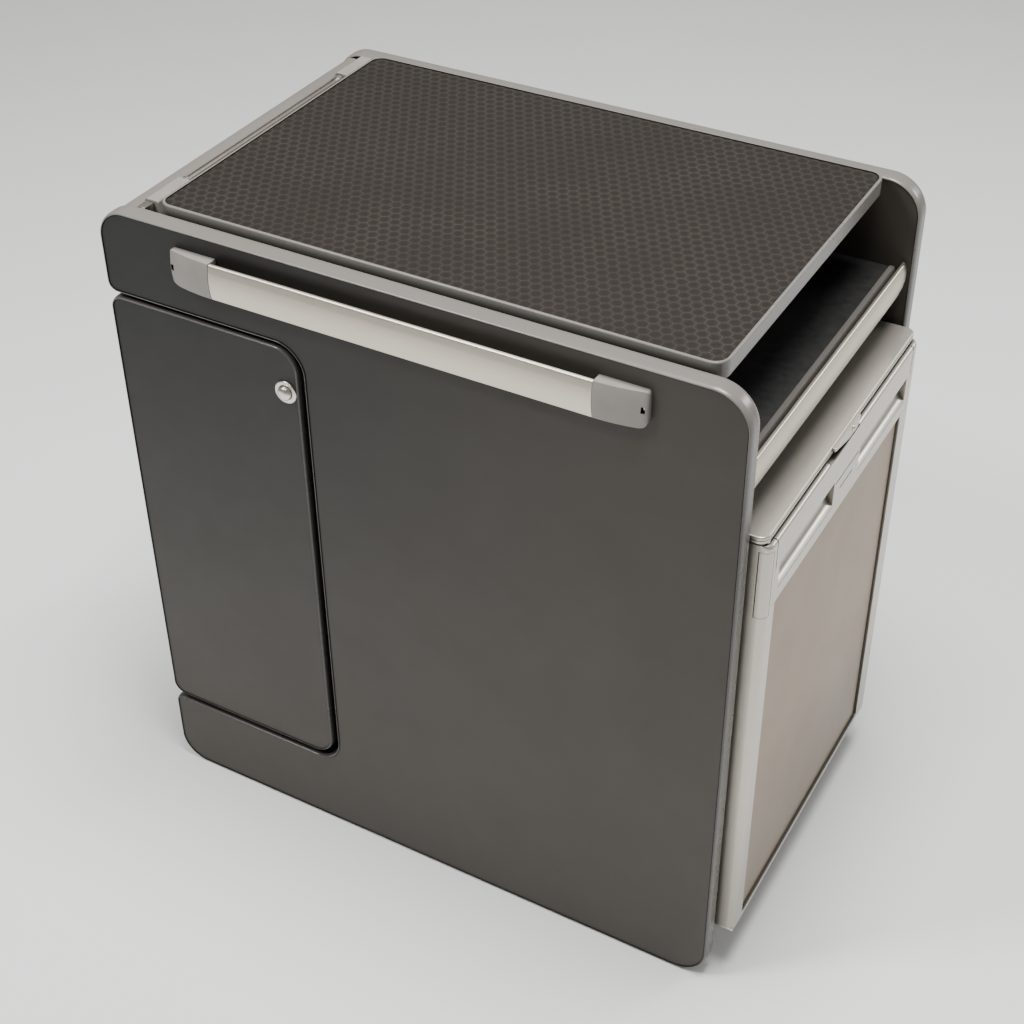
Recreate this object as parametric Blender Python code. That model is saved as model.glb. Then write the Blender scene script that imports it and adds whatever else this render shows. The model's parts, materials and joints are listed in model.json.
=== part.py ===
"""A campervan kitchen pod: two T-trimmed side panels round a cupboard, a fridge and a lidded worktop.

Everything is drawn in the pod's own frame, in metres. X runs from the lid hinge to the fridge door,
Y from the near side panel to the far one and Z up from the floor. The empty called pod then carries
that frame, so that the origin lies on the floor under the middle of the whole pod.
"""

import math

import bpy
import bmesh
from mathutils import Vector

MM = 0.001

# Clearances and cutting
GAP = 0.3 * MM
OVERRUN = 6 * MM
SMALLEST_RADIUS = 0.1 * MM

# How finely round forms are drawn
CORNER_STEPS = 6
SMALL_STEPS = 3
ROUND_STEPS = 16
CROWN_STEPS = 2
BULGE_STEPS = 6
SHARP_ANGLE = math.radians(35)

# Side panels
PANEL_LENGTH = 675 * MM
PANEL_HEIGHT = 730 * MM
POD_DEPTH = 430 * MM
BOARD = 18 * MM
RIGHT_RADIUS = 38 * MM
LEFT_RADIUS = 33 * MM

# T-trim, the plastic edging whose stem sits in a groove in the board's edge
LIP = 0.7 * MM
LIP_REACH = 2.75 * MM
TRIM_RISE = 1.65 * MM
CROWN_EDGE = 1.6 * MM
CROWN_DROP = 1.1 * MM
STEM_WIDTH = 2.4 * MM
STEM_LENGTH = 5.7 * MM
LIP_STEP = LIP + GAP
TRIM_WIDTH = BOARD + 2 * LIP_STEP
NEAR_INNER = LIP_STEP + BOARD
BUTT_NEAR = NEAR_INNER + GAP
BUTT_FAR = POD_DEPTH - BUTT_NEAR
ROOM_NEAR = TRIM_WIDTH + GAP
ROOM_FAR = POD_DEPTH - ROOM_NEAR

# Door opening in the near panel, which is open towards the lid hinge
CUTOUT_RIGHT = 227 * MM
CUTOUT_BOTTOM = 95 * MM
UPPER_STRIP_HEIGHT = 93 * MM
CUTOUT_TOP = PANEL_HEIGHT - UPPER_STRIP_HEIGHT
CUTOUT_RADIUS = 30 * MM
UPPER_STRIP_RADIUS = 12 * MM
LOWER_STRIP_RADIUS = 9 * MM

# Cupboard door
DOOR_SIDE_GAP = 6 * MM
DOOR_FOOT_GAP = 6 * MM
DOOR_HEAD_GAP = 3.5 * MM
DOOR_RIGHT_RADIUS = 25.5 * MM
DOOR_LEFT_RADIUS = 15 * MM
DOOR_RIGHT = CUTOUT_RIGHT - DOOR_SIDE_GAP
DOOR_BOTTOM = CUTOUT_BOTTOM + DOOR_FOOT_GAP
DOOR_TOP = CUTOUT_TOP - DOOR_HEAD_GAP

# Lid
LID_LEFT = 55.5 * MM
LID_RIGHT = PANEL_LENGTH - RIGHT_RADIUS
LID_SIDE_GAP = 4 * MM
LID_RISE = 6 * MM
LID_BOARD = 16 * MM
LID_RADIUS = 15 * MM
LID_THICKNESS = LID_BOARD + 2 * LIP_STEP
LID_NEAR = TRIM_WIDTH + LID_SIDE_GAP
LID_FAR = POD_DEPTH - LID_NEAR
LID_TOP = PANEL_HEIGHT + LID_RISE
LID_BOTTOM = LID_TOP - LID_THICKNESS

# End board under the lid hinge
END_LEFT = 15.5 * MM
END_BOARD = 14 * MM
END_TOP_DROP = 5.5 * MM
END_BOTTOM = 10 * MM
END_TOP = PANEL_HEIGHT - END_TOP_DROP
END_INNER = END_LEFT + LIP_STEP + END_BOARD
END_RIGHT = END_INNER + LIP_STEP
INNER_LEFT = END_INNER + GAP

# Base board, and the two floor angles that carry it and hold the pod to the vehicle's floor
BASE_TOP = 62 * MM
BASE_BOARD = 16 * MM
BASE_SETBACK = 25 * MM
ANGLE_METAL = 3 * MM
ANGLE_FOOT = 40 * MM
ANGLE_LEFT = 60 * MM
ANGLE_SETBACK = 75 * MM
ANGLE_HOLE_RADIUS = 3.5 * MM
ANGLE_HOLE_INSET = 60 * MM
ANGLE_HOLES = 4
BASE_RIGHT = PANEL_LENGTH - BASE_SETBACK
BASE_BOTTOM = BASE_TOP - BASE_BOARD
ANGLE_RIGHT = PANEL_LENGTH - ANGLE_SETBACK
ANGLE_TOP = BASE_BOTTOM - GAP

# Divider between the cupboard and the fridge bay, and the cupboard's shelf
DIVIDER_BOARD = 15 * MM
DIVIDER_LEFT = CUTOUT_RIGHT + LIP_REACH + GAP
DIVIDER_RIGHT = DIVIDER_LEFT + DIVIDER_BOARD
CUPBOARD_SHELF_SHARE = 0.7034
CUPBOARD_SHELF_BOARD = 15 * MM
CUPBOARD_SHELF_SETBACK = 4 * MM

# Worktop shelf under the lid, with the rail along its front edge
SHELF_DROP = 94 * MM
SHELF_BOARD = 16 * MM
SHELF_SETBACK = 17.5 * MM
SHELF_TOP = PANEL_HEIGHT - SHELF_DROP
SHELF_CROWN = PANEL_LENGTH - SHELF_SETBACK
SHELF_BOTTOM = SHELF_TOP - SHELF_BOARD
SHELF_RIGHT = SHELF_CROWN - TRIM_RISE

# Aluminium rail profile: a bulged front wall, a floor and a short back flange
RAIL_WALL = 3 * MM
RAIL_FLANGE = 2.5 * MM
RAIL_FLANGE_HEIGHT = 14 * MM
TABLE_RAIL_HEIGHT = 37 * MM
TABLE_RAIL_DEPTH = 14.2 * MM
TABLE_RAIL_BULGE = 3.5 * MM
TABLE_RAIL_DROP = 57 * MM
TABLE_RAIL_LENGTH = 396.5 * MM
RAIL_CAP_LENGTH = 49 * MM
RAIL_CAP_END_DEPTH = 6.5 * MM
RAIL_CAP_CORNER = 4 * MM
FRONT_RAIL_HEIGHT = 32 * MM
FRONT_RAIL_DEPTH = 11.7 * MM
FRONT_RAIL_BULGE = 2.5 * MM
FRONT_RAIL_DROP = 23 * MM
FRONT_RAIL_END_GAP = 2 * MM
FRONT_RAIL_END_RADIUS = 22 * MM
PANEL_FACE = LIP_STEP
TABLE_RAIL_SEAT = PANEL_FACE - GAP
TABLE_RAIL_BOTTOM = PANEL_HEIGHT - TABLE_RAIL_DROP
TABLE_RAIL_MIDDLE = PANEL_LENGTH / 2
TABLE_RAIL_LEFT = TABLE_RAIL_MIDDLE - TABLE_RAIL_LENGTH / 2
TABLE_RAIL_RIGHT = TABLE_RAIL_MIDDLE + TABLE_RAIL_LENGTH / 2
FRONT_RAIL_BOTTOM = SHELF_TOP - FRONT_RAIL_DROP
FRONT_RAIL_SEAT = SHELF_CROWN + GAP
FRONT_RAIL_NEAR = TRIM_WIDTH + FRONT_RAIL_END_GAP
FRONT_RAIL_FAR = POD_DEPTH - FRONT_RAIL_NEAR

# Lid hinge: a long rod carried by two moulded blocks, and two steel arms under the lid
HINGE_X = 37.5 * MM
HINGE_DROP = 7.5 * MM
ROD_RADIUS = 3 * MM
BLOCK_WIDTH = 15.2 * MM
BLOCK_DROP = 1 * MM
BLOCK_HEIGHT = 27 * MM
BLOCK_LENGTH = 50 * MM
BLOCK_NEAR_START = 36 * MM
BLOCK_EDGE = 2 * MM
BLOCK_WALL = 1.6 * MM
BLOCK_LEG = 5.5 * MM
BLOCK_POCKET = 6 * MM
ARM_WIDTH = 6 * MM
ARM_METAL = 3 * MM
ARM_KNUCKLE_RADIUS = 5.4 * MM
ARM_REACH = 66 * MM
ARM_PLATE_WIDTH = 32 * MM
ARM_PLATE_LENGTH = 56 * MM
ARM_NECK_START = 9 * MM
ARM_KNUCKLE_START = math.radians(-25)
ARM_KNUCKLE_END = math.radians(262)
ARM_SIDE_GAP = 0.6 * MM
HINGE_Z = PANEL_HEIGHT - HINGE_DROP
BLOCK_TOP = PANEL_HEIGHT - BLOCK_DROP
BLOCK_LEFT = END_RIGHT + GAP
BLOCK_RIGHT = BLOCK_LEFT + BLOCK_WIDTH

# Corner brackets between the end board and the side panels
CORNER_METAL = 2 * MM
CORNER_LEG = 15 * MM
CORNER_HEIGHT = 30 * MM
CORNER_TOP = HINGE_Z - ROD_RADIUS - GAP

# Cupboard door hinges: knuckles on a vertical pin beside the end board
DOOR_PIN_X = 8 * MM
KNUCKLE_RADIUS = 3.2 * MM
DOOR_PIN_Y = TRIM_WIDTH + GAP + KNUCKLE_RADIUS
DOOR_PIN_RADIUS = 1.5 * MM
LEAF_METAL = 1.5 * MM
LEAF_LEFT = 0.6 * MM
LEAF_RIGHT = 15 * MM
FRAME_LEAF_FAR = 52 * MM
HINGE_HEIGHT = 48 * MM
HINGE_INSET = 72 * MM
FRAME_KNUCKLE_SHARE = 0.3

# Push lock in the door
LOCK_INSET = 15.2 * MM
LOCK_DROP = 49.5 * MM
LOCK_X = DOOR_RIGHT - LOCK_INSET
LOCK_Z = DOOR_TOP - LOCK_DROP
ROSETTE_RADIUS = 12.25 * MM
ROSETTE_RISE = 1.8 * MM
BUTTON_RADIUS = 7.25 * MM
BUTTON_RISE = 7.5 * MM
BUTTON_DOME = 2.4 * MM
BUTTON_INNER_END = 21 * MM
BUTTON_TRAVEL = 5 * MM
LOCK_TUBE_RADIUS = 10 * MM
CASE_REACH = 23.8 * MM
CASE_SIDE_GAP = 3.5 * MM
CASE_LEFT = LOCK_X - CASE_REACH
CASE_RIGHT = DOOR_RIGHT - CASE_SIDE_GAP
CASE_DEPTH = 18 * MM
CASE_HEIGHT = 36 * MM
BOLT_WIDTH = 6 * MM
BOLT_HEIGHT = 12 * MM
BOLT_TAIL = 3 * MM
BOLT_NOSE = 2.2 * MM
BOLT_NEAR = 28 * MM
BOLT_FAR = BOLT_NEAR + BOLT_WIDTH
STRIKE_METAL = 1.5 * MM
STRIKE_REACH = 8 * MM
STRIKE_LENGTH = 36 * MM
STRIKE_HEIGHT = 32 * MM
STRIKE_CLEARANCE = 2.5 * MM

# Fridge: outer sizes, bay and insulation
FRIDGE_NEAR = 25 * MM
FRIDGE_SETBACK = 9 * MM
FRIDGE_LEFT_GAP = 16.95 * MM
INSULATION = 30 * MM
LINER_WALL = 2 * MM
MACHINE_ROOM_LENGTH = 110 * MM
MACHINE_ROOM_HEIGHT = 128 * MM
PLATE_DROP = 60 * MM
PLATE_THICKNESS = 10 * MM
PLATE_SETBACK = 5 * MM
PLATE_OVERHANG = 3 * MM
PLATE_RADIUS = 9 * MM
PLATE_EDGE = 1 * MM
FRIDGE_FAR = POD_DEPTH - FRIDGE_NEAR
FRIDGE_LEFT = DIVIDER_RIGHT + FRIDGE_LEFT_GAP
FRIDGE_FRONT = PANEL_LENGTH - FRIDGE_SETBACK
FRIDGE_BOTTOM = BASE_TOP + GAP
PLATE_TOP = SHELF_TOP - PLATE_DROP
PLATE_BOTTOM = PLATE_TOP - PLATE_THICKNESS
FRIDGE_TOP = PLATE_BOTTOM - GAP
COMPRESSOR_RADIUS = 50 * MM
COMPRESSOR_FOOT_RADIUS = 34 * MM
COMPRESSOR_CAP_RADIUS = 16 * MM
COMPRESSOR_SHOULDER = 18 * MM
COMPRESSOR_FOOT = 6 * MM
COMPRESSOR_HEIGHT = 106 * MM
EVAPORATOR_LENGTH = 140 * MM
EVAPORATOR_THICKNESS = 13 * MM
EVAPORATOR_INSET = 16 * MM
WIRE_SHELF_THICKNESS = 5 * MM
WIRE_SHELF_SETBACK = 33.4 * MM
WIRE_SHELF_BORDER = 9 * MM
WIRE_SHELF_BAR = 4 * MM
WIRE_SHELF_SLOTS = 9
WIRE_SHELF_TOP = 345 * MM

# Fridge door
DOOR_SEAL_GAP = 6 * MM
DOOR_THICKNESS = 20.5 * MM
DOOR_BACK = FRIDGE_FRONT + DOOR_SEAL_GAP
DOOR_FRONT = DOOR_BACK + DOOR_THICKNESS
PLATE_FRONT = DOOR_FRONT - PLATE_SETBACK
FRIDGE_DOOR_BOTTOM = BASE_TOP
DOOR_EDGE_RADIUS = 8 * MM
DOOR_ROLL = 4.5 * MM
FASCIA_SIDE = 15 * MM
FASCIA_HEIGHT = 76 * MM
FASCIA_DEPTH = 16.5 * MM
SCOOP_SIDE = 25 * MM
SCOOP_LENGTH_SHARE = 0.3474
SCOOP_DROP = 33 * MM
SCOOP_HEIGHT = 27 * MM
SCOOP_DEPTH = 12 * MM
SCOOP_BACK_DROP = 9 * MM
SCOOP_CEILING_DROP = 2 * MM
SLIT_HEIGHT = 1.2 * MM
SLIT_DEPTH = 2.5 * MM
UPPER_SLIT_RISE = 22 * MM
UPPER_SLIT_SHARE = 0.91
LOWER_SLIT_RISE = 9 * MM
LOWER_SLIT_SHARE = 0.5
DECOR_NEAR_SIDE = 21 * MM
DECOR_FAR_SIDE = 30 * MM
DECOR_FOOT = 6 * MM
DECOR_RECESS = 2.5 * MM
DECOR_THICKNESS = 2.5 * MM
DECOR_RADIUS = 4 * MM
DECOR_SEAL_WIDTH = 2.6 * MM
DECOR_SEAL_RISE = 0.7 * MM
SEAL_INSET = 6 * MM
SEAL_WIDTH = 13 * MM
SEAL_RADIUS = 14 * MM
DOOR_LINER_INSET = 37 * MM
DOOR_LINER_DEPTH = 14.7 * MM
DOOR_LINER_RIM = 8 * MM
DOOR_LINER_FLOOR = 4 * MM
FRIDGE_HINGE_INSET = 7.5 * MM
FRIDGE_HINGE_SIDE = 7 * MM
FRIDGE_PIN_RADIUS = 3 * MM
FRIDGE_PIN_LENGTH = 12 * MM
HINGE_PLATE = 3 * MM
HINGE_PLATE_SIDE = 6 * MM
HINGE_PLATE_WIDTH = 20 * MM
COVER_DEPTH = 11 * MM
COVER_DROP = 8 * MM
COVER_HEIGHT = 74 * MM
COVER_THICKNESS = 1.5 * MM
LATCH_SIDE = 8 * MM
LATCH_LENGTH = 64 * MM
LATCH_HEIGHT = 12.3 * MM
LATCH_DROP = 0.5 * MM
LATCH_THICKNESS = 4.2 * MM
LATCH_EDGE = 1.2 * MM
LATCH_POCKET_DEPTH = 6.5 * MM
LATCH_AXIS_RISE = 1.4 * MM
LATCH_RELIEF = 0.5 * MM
FRIDGE_DOOR_TOP = PLATE_BOTTOM - GAP
FRIDGE_HINGE_X = DOOR_FRONT - FRIDGE_HINGE_INSET
FRIDGE_HINGE_Y = FRIDGE_NEAR + FRIDGE_HINGE_SIDE
HINGE_PLATE_NEAR = FRIDGE_HINGE_Y - HINGE_PLATE_SIDE
HINGE_PLATE_FAR = HINGE_PLATE_NEAR + HINGE_PLATE_WIDTH
FASCIA_BOTTOM = PLATE_BOTTOM - FASCIA_HEIGHT
FASCIA_BACK = DOOR_FRONT - FASCIA_DEPTH
FASCIA_NEAR = FRIDGE_NEAR + FASCIA_SIDE
FASCIA_FAR = FRIDGE_FAR - FASCIA_SIDE
DOOR_OVER = FRIDGE_DOOR_TOP + OVERRUN
SCOOP_NEAR = FRIDGE_NEAR + SCOOP_SIDE
SCOOP_LENGTH = (FRIDGE_FAR - FRIDGE_NEAR) * SCOOP_LENGTH_SHARE
SCOOP_APART = FRIDGE_FAR - FRIDGE_NEAR - 2 * (SCOOP_SIDE + SCOOP_LENGTH)
SCOOP_TOP = PLATE_BOTTOM - SCOOP_DROP
SCOOP_BOTTOM = SCOOP_TOP - SCOOP_HEIGHT
DECOR_NEAR = FRIDGE_NEAR + DECOR_NEAR_SIDE
DECOR_FAR = FRIDGE_FAR - DECOR_FAR_SIDE
DECOR_BOTTOM = FRIDGE_DOOR_BOTTOM + DECOR_FOOT
COVER_BACK = DOOR_FRONT - COVER_DEPTH
COVER_TOP = PLATE_BOTTOM - COVER_DROP
COVER_BOTTOM = COVER_TOP - COVER_HEIGHT
LATCH_NEAR = (POD_DEPTH - LATCH_LENGTH) / 2 - LATCH_SIDE
LATCH_FAR = LATCH_NEAR + LATCH_LENGTH
LATCH_TOP = PLATE_TOP - LATCH_DROP
LATCH_BOTTOM = LATCH_TOP - LATCH_HEIGHT

# Hob set into the worktop
HOB_LEFT_GAP = 44 * MM
HOB_RIGHT_GAP = 105 * MM
HOB_NEAR = 60 * MM
HOB_RADIUS = 14 * MM
HOB_DEPTH = 24 * MM
STEEL = 1.5 * MM
FLANGE = 15 * MM
BOWL_TAPER = 5 * MM
BURNER_Y_SHARE = 0.58
BURNER_FOOT_RADIUS = 36 * MM
BURNER_HEAD_RADIUS = 26 * MM
BURNER_CAP_RADIUS = 21 * MM
BURNER_FOOT = 4 * MM
BURNER_HEAD = 12 * MM
BURNER_CAP = 17 * MM
SUPPORT_SIZE = 124 * MM
SUPPORT_BAR = 5 * MM
SUPPORT_HEIGHT = 26 * MM
SUPPORT_FINGER = 34 * MM
SUPPORT_RADIUS = 9 * MM
KNOB_RADIUS = 13 * MM
KNOB_BASE = 6 * MM
KNOB_HEIGHT = 19 * MM
KNOB_GRIP_SHARE = 0.32
KNOB_SIDE = 52 * MM

# Sink bowl, its waste and the swivelling tap
SINK_LEFT = 50 * MM
SINK_RIGHT = 218 * MM
SINK_NEAR = 60 * MM
SINK_FAR_SIDE = 104 * MM
SINK_RADIUS = 32 * MM
SINK_DEPTH = 110 * MM
WASTE_BORE = 12 * MM
WASTE_STEM = 17 * MM
WASTE_FLANGE = 24 * MM
WASTE_FLANGE_THICKNESS = 1.6 * MM
WASTE_NUT = 23 * MM
WASTE_NUT_HEIGHT = 9 * MM
WASTE_TAIL = 15 * MM
WASTE_LENGTH = 62 * MM
TAP_SIDE = 38 * MM
TAP_BASE_RADIUS = 18 * MM
TAP_BASE_HEIGHT = 28 * MM
TAP_STEM_RADIUS = 8 * MM
TAP_STEM_DEPTH = 20 * MM
TAP_ARM_HEIGHT = 11 * MM
TAP_ARM_WIDTH = 14 * MM
TAP_ARM_LENGTH = 96 * MM
TAP_NECK = 12 * MM
TAP_NOZZLE = 9 * MM
TAP_NOZZLE_LENGTH = 16 * MM

SINK_FAR = POD_DEPTH - SINK_FAR_SIDE
SINK_FLOOR = SHELF_TOP - SINK_DEPTH
WASTE_END = SINK_FLOOR + GAP - WASTE_LENGTH
CUPBOARD_SHELF_TOP = BASE_TOP + (WASTE_END - BASE_TOP) * CUPBOARD_SHELF_SHARE
TAP_Y = SINK_FAR + TAP_SIDE
HOB_LEFT = SINK_RIGHT + HOB_LEFT_GAP
HOB_RIGHT = PANEL_LENGTH - HOB_RIGHT_GAP
HOB_FAR = POD_DEPTH - HOB_NEAR
HOB_FLOOR = SHELF_TOP - HOB_DEPTH
KNOB_Y = HOB_NEAR + KNOB_SIDE
SINK_MIDDLE = (SINK_LEFT + SINK_RIGHT) / 2
HOB_MIDDLE = (HOB_LEFT + HOB_RIGHT) / 2
FRIDGE_MIDDLE = (FRIDGE_NEAR + FRIDGE_FAR) / 2
RAIL_REACH = TABLE_RAIL_DEPTH - TABLE_RAIL_SEAT

# Colour, roughness and metallic value of each finish
FINISHES = {
    "panel_laminate": ((0.086, 0.080, 0.073), 0.42, 0.0),
    "lid_laminate": ((0.058, 0.051, 0.045), 0.5, 0.0),
    "trim_plastic": ((0.300, 0.290, 0.272), 0.45, 0.0),
    "black_board": ((0.012, 0.012, 0.011), 0.6, 0.0),
    "aluminium": ((0.560, 0.540, 0.500), 0.35, 1.0),
    "cap_plastic": ((0.240, 0.230, 0.215), 0.45, 0.0),
    "zinc_steel": ((0.600, 0.600, 0.580), 0.35, 1.0),
    "nickel": ((0.650, 0.630, 0.600), 0.25, 1.0),
    "fridge_silver": ((0.480, 0.460, 0.420), 0.4, 0.3),
    "decor_panel": ((0.390, 0.350, 0.300), 0.3, 0.0),
    "dark_rubber": ((0.020, 0.020, 0.020), 0.7, 0.0),
    "seal_grey": ((0.280, 0.280, 0.270), 0.7, 0.0),
    "fridge_white": ((0.750, 0.750, 0.730), 0.4, 0.0),
    "stainless": ((0.580, 0.570, 0.550), 0.3, 1.0),
    "cast_iron": ((0.020, 0.020, 0.020), 0.6, 0.6),
    "black_plastic": ((0.020, 0.020, 0.020), 0.5, 0.0),
}


def clear_scene():
    """Remove what the scene holds."""
    for thing in list(bpy.data.objects):
        bpy.data.objects.remove(thing)


def finish(name):
    """The material of that name, made when it is first asked for."""
    if name in bpy.data.materials:
        return bpy.data.materials[name]
    colour, roughness, metallic = FINISHES[name]
    material = bpy.data.materials.new(name)
    material.use_nodes = True
    shader = material.node_tree.nodes["Principled BSDF"]
    shader.inputs["Base Color"].default_value = (*colour, 1)
    shader.inputs["Roughness"].default_value = roughness
    shader.inputs["Metallic"].default_value = metallic
    material.diffuse_color = (*colour, 1)
    return material


# Places: three ways to lay a flat drawing (u, v) and its depth w in the pod


def side_view(u, v, w):
    """u along X, v up, w across the pod."""
    return (u, w, v)


def plan_view(u, v, w):
    """u along X, v across the pod, w up."""
    return (u, v, w)


def end_view(u, v, w):
    """u across the pod, v up, w along X."""
    return (w, u, v)


def ring(corners, inset=0, steps=CORNER_STEPS):
    """Points of an anticlockwise outline with rounded corners, moved inwards by inset."""
    points = []
    for index, (u, v, radius) in enumerate(corners):
        here = Vector((u, v))
        way_in = (here - Vector(corners[index - 1][:2])).normalized()
        way_out = (Vector(corners[(index + 1) % len(corners)][:2]) - here).normalized()
        left_in = Vector((-way_in.y, way_in.x))
        left_out = Vector((-way_out.y, way_out.x))
        corner = here + (left_in + left_out) * (inset / (1 + left_in.dot(left_out)))
        if radius == 0:
            points.append(corner)
            continue
        turn = math.atan2(way_in.cross(way_out), way_in.dot(way_out))
        inward = 1 if turn > 0 else -1
        reach = max(radius - inward * inset, SMALLEST_RADIUS)
        centre = corner - way_in * (reach * math.tan(abs(turn) / 2)) + left_in * (inward * reach)
        start = math.atan2(-inward * left_in.y, -inward * left_in.x)
        for step in range(steps + 1):
            angle = start + turn * step / steps
            points.append(centre + Vector((math.cos(angle), math.sin(angle))) * reach)
    return points


def rectangle(left, right, bottom, top, radius=0):
    """The four corners of a rectangle, anticlockwise."""
    return [(left, bottom, radius), (right, bottom, radius), (right, top, radius), (left, top, radius)]


def skin(rings, closed=False):
    """A closed mesh through rings of points: its ends are capped, or joined when it is closed."""
    mesh = bmesh.new()
    rows = [[mesh.verts.new(point) for point in points] for points in rings]
    bands = list(zip(rows, rows[1:]))
    if closed:
        bands.append((rows[-1], rows[0]))
    else:
        mesh.faces.new(rows[0])
        mesh.faces.new(rows[-1])
    for low, high in bands:
        for first in range(len(low)):
            second = (first + 1) % len(low)
            mesh.faces.new((low[first], low[second], high[second], high[first]))
    bmesh.ops.recalc_face_normals(mesh, faces=mesh.faces)
    return mesh


def stack(corners, layers, place, closed=False, steps=CORNER_STEPS):
    """A solid of layers (depth, inset), each the same outline moved inwards."""
    rings = []
    for depth, inset in layers:
        rings.append([place(u, v, depth) for u, v in ring(corners, inset, steps)])
    return skin(rings, closed)


def prism(points, place, start, end):
    """A flat outline carried straight from start to end."""
    return skin([[place(u, v, depth) for u, v in points] for depth in (start, end)])


def block(xs, ys, zs):
    """A box between the two values of each pair."""
    corners = [(xs[0], ys[0]), (xs[1], ys[0]), (xs[1], ys[1]), (xs[0], ys[1])]
    return prism(corners, plan_view, zs[0], zs[1])


def lathe(profile, centre, place, closed=False, steps=ROUND_STEPS):
    """A turned solid: each (radius, depth) of the profile becomes a circle about the centre."""
    rings = []
    for radius, depth in profile:
        circle = []
        for step in range(steps):
            angle = 2 * math.pi * step / steps
            u = centre[0] + radius * math.cos(angle)
            v = centre[1] + radius * math.sin(angle)
            circle.append(place(u, v, depth))
        rings.append(circle)
    return skin(rings, closed)


def rod(radius, start, end, centre, place, steps=ROUND_STEPS):
    """A plain round bar."""
    return lathe([(radius, start), (radius, end)], centre, place, steps=steps)


def together(parts):
    """Several meshes in one, each still a solid of its own."""
    whole = bmesh.new()
    for part in parts:
        data = bpy.data.meshes.new("part")
        part.to_mesh(data)
        part.free()
        whole.from_mesh(data)
        bpy.data.meshes.remove(data)
    return whole


def carrier(name, place, parent=None):
    """An empty that carries pieces: the pod itself, or a joint's axis."""
    empty = bpy.data.objects.new(name, None)
    bpy.context.scene.collection.objects.link(empty)
    empty.parent = parent
    empty.location = place
    return empty


def add(name, mesh, finish_name, holder):
    """A piece drawn in the pod's frame and hung on its holder."""
    data = bpy.data.meshes.new(name)
    mesh.to_mesh(data)
    mesh.free()
    data.shade_smooth()
    data.set_sharp_from_angle(angle=SHARP_ANGLE)
    data.materials.append(finish(finish_name))
    piece = bpy.data.objects.new(name, data)
    bpy.context.scene.collection.objects.link(piece)
    piece.parent = holder
    if holder.parent:
        piece.location = -holder.location
    return piece


def work(pieces, mesh, name, operation):
    """Cut a hidden shape out of the pieces, or join it to them."""
    holder = pieces[0].parent
    tool = add(name, mesh, "black_plastic", holder)
    tool.hide_render = True
    tool.display_type = "WIRE"
    for piece in pieces:
        modifier = piece.modifiers.new(name, "BOOLEAN")
        modifier.operation = operation
        modifier.object = tool


def cut(pieces, mesh, name):
    """Take a shape away from each piece."""
    work(pieces, mesh, name, "DIFFERENCE")


def fuse(piece, mesh, name):
    """Add a shape to a piece as one body with it."""
    work([piece], mesh, name, "UNION")


# Boards and their T-trim


def trim_section(width):
    """The T-trim's section as (across, inset from the crown), for a board that wide with its lips."""
    points = []
    for step in range(CROWN_STEPS + 1):
        angle = math.pi / 2 * step / CROWN_STEPS
        points.append((CROWN_EDGE * (1 - math.cos(angle)), CROWN_DROP * (1 - math.sin(angle))))
    points += [(width - across, inset) for across, inset in reversed(points)]
    base = TRIM_RISE - GAP
    stem_end = base + STEM_LENGTH
    stem_left = (width - STEM_WIDTH) / 2
    stem_right = (width + STEM_WIDTH) / 2
    points += [(width, LIP_REACH), (width - LIP, LIP_REACH), (width - LIP, base)]
    points += [(stem_right, base), (stem_right, stem_end), (stem_left, stem_end), (stem_left, base)]
    points += [(LIP, base), (LIP, LIP_REACH), (0, LIP_REACH)]
    return points


def board_layers(start, thickness):
    """Layers of a board with a groove round its edge for the trim's stem."""
    middle = start + thickness / 2
    half = STEM_WIDTH / 2 + GAP
    groove = TRIM_RISE + STEM_LENGTH
    return [
        (start, TRIM_RISE),
        (middle - half, TRIM_RISE),
        (middle - half, groove),
        (middle + half, groove),
        (middle + half, TRIM_RISE),
        (start + thickness, TRIM_RISE),
    ]


def trimmed_board(names, corners, start, thickness, place, finish_name, holder):
    """A rounded board and the ring of T-trim round it, as two pieces."""
    board = add(names[0], stack(corners, board_layers(start + LIP_STEP, thickness), place), finish_name, holder)
    layers = [(start + across, inset) for across, inset in trim_section(thickness + 2 * LIP_STEP)]
    trim = add(names[1], stack(corners, layers, place, closed=True), "trim_plastic", holder)
    return board, trim


def near_panel_corners():
    """The near panel, with the door opening cut in from its left edge."""
    return [
        (0, 0, LEFT_RADIUS),
        (PANEL_LENGTH, 0, RIGHT_RADIUS),
        (PANEL_LENGTH, PANEL_HEIGHT, RIGHT_RADIUS),
        (0, PANEL_HEIGHT, LEFT_RADIUS),
        (0, CUTOUT_TOP, UPPER_STRIP_RADIUS),
        (CUTOUT_RIGHT, CUTOUT_TOP, CUTOUT_RADIUS),
        (CUTOUT_RIGHT, CUTOUT_BOTTOM, CUTOUT_RADIUS),
        (0, CUTOUT_BOTTOM, LOWER_STRIP_RADIUS),
    ]


def far_panel_corners():
    """The far panel is whole."""
    return [
        (0, 0, LEFT_RADIUS),
        (PANEL_LENGTH, 0, RIGHT_RADIUS),
        (PANEL_LENGTH, PANEL_HEIGHT, RIGHT_RADIUS),
        (0, PANEL_HEIGHT, LEFT_RADIUS),
    ]


def side_panels(pod):
    """Both side panels stand on the floor and carry everything else."""
    names = ("near_side_panel", "near_side_trim")
    trimmed_board(names, near_panel_corners(), 0, BOARD, side_view, "panel_laminate", pod)
    names = ("far_side_panel", "far_side_trim")
    trimmed_board(names, far_panel_corners(), POD_DEPTH - TRIM_WIDTH, BOARD, side_view, "panel_laminate", pod)


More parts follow.
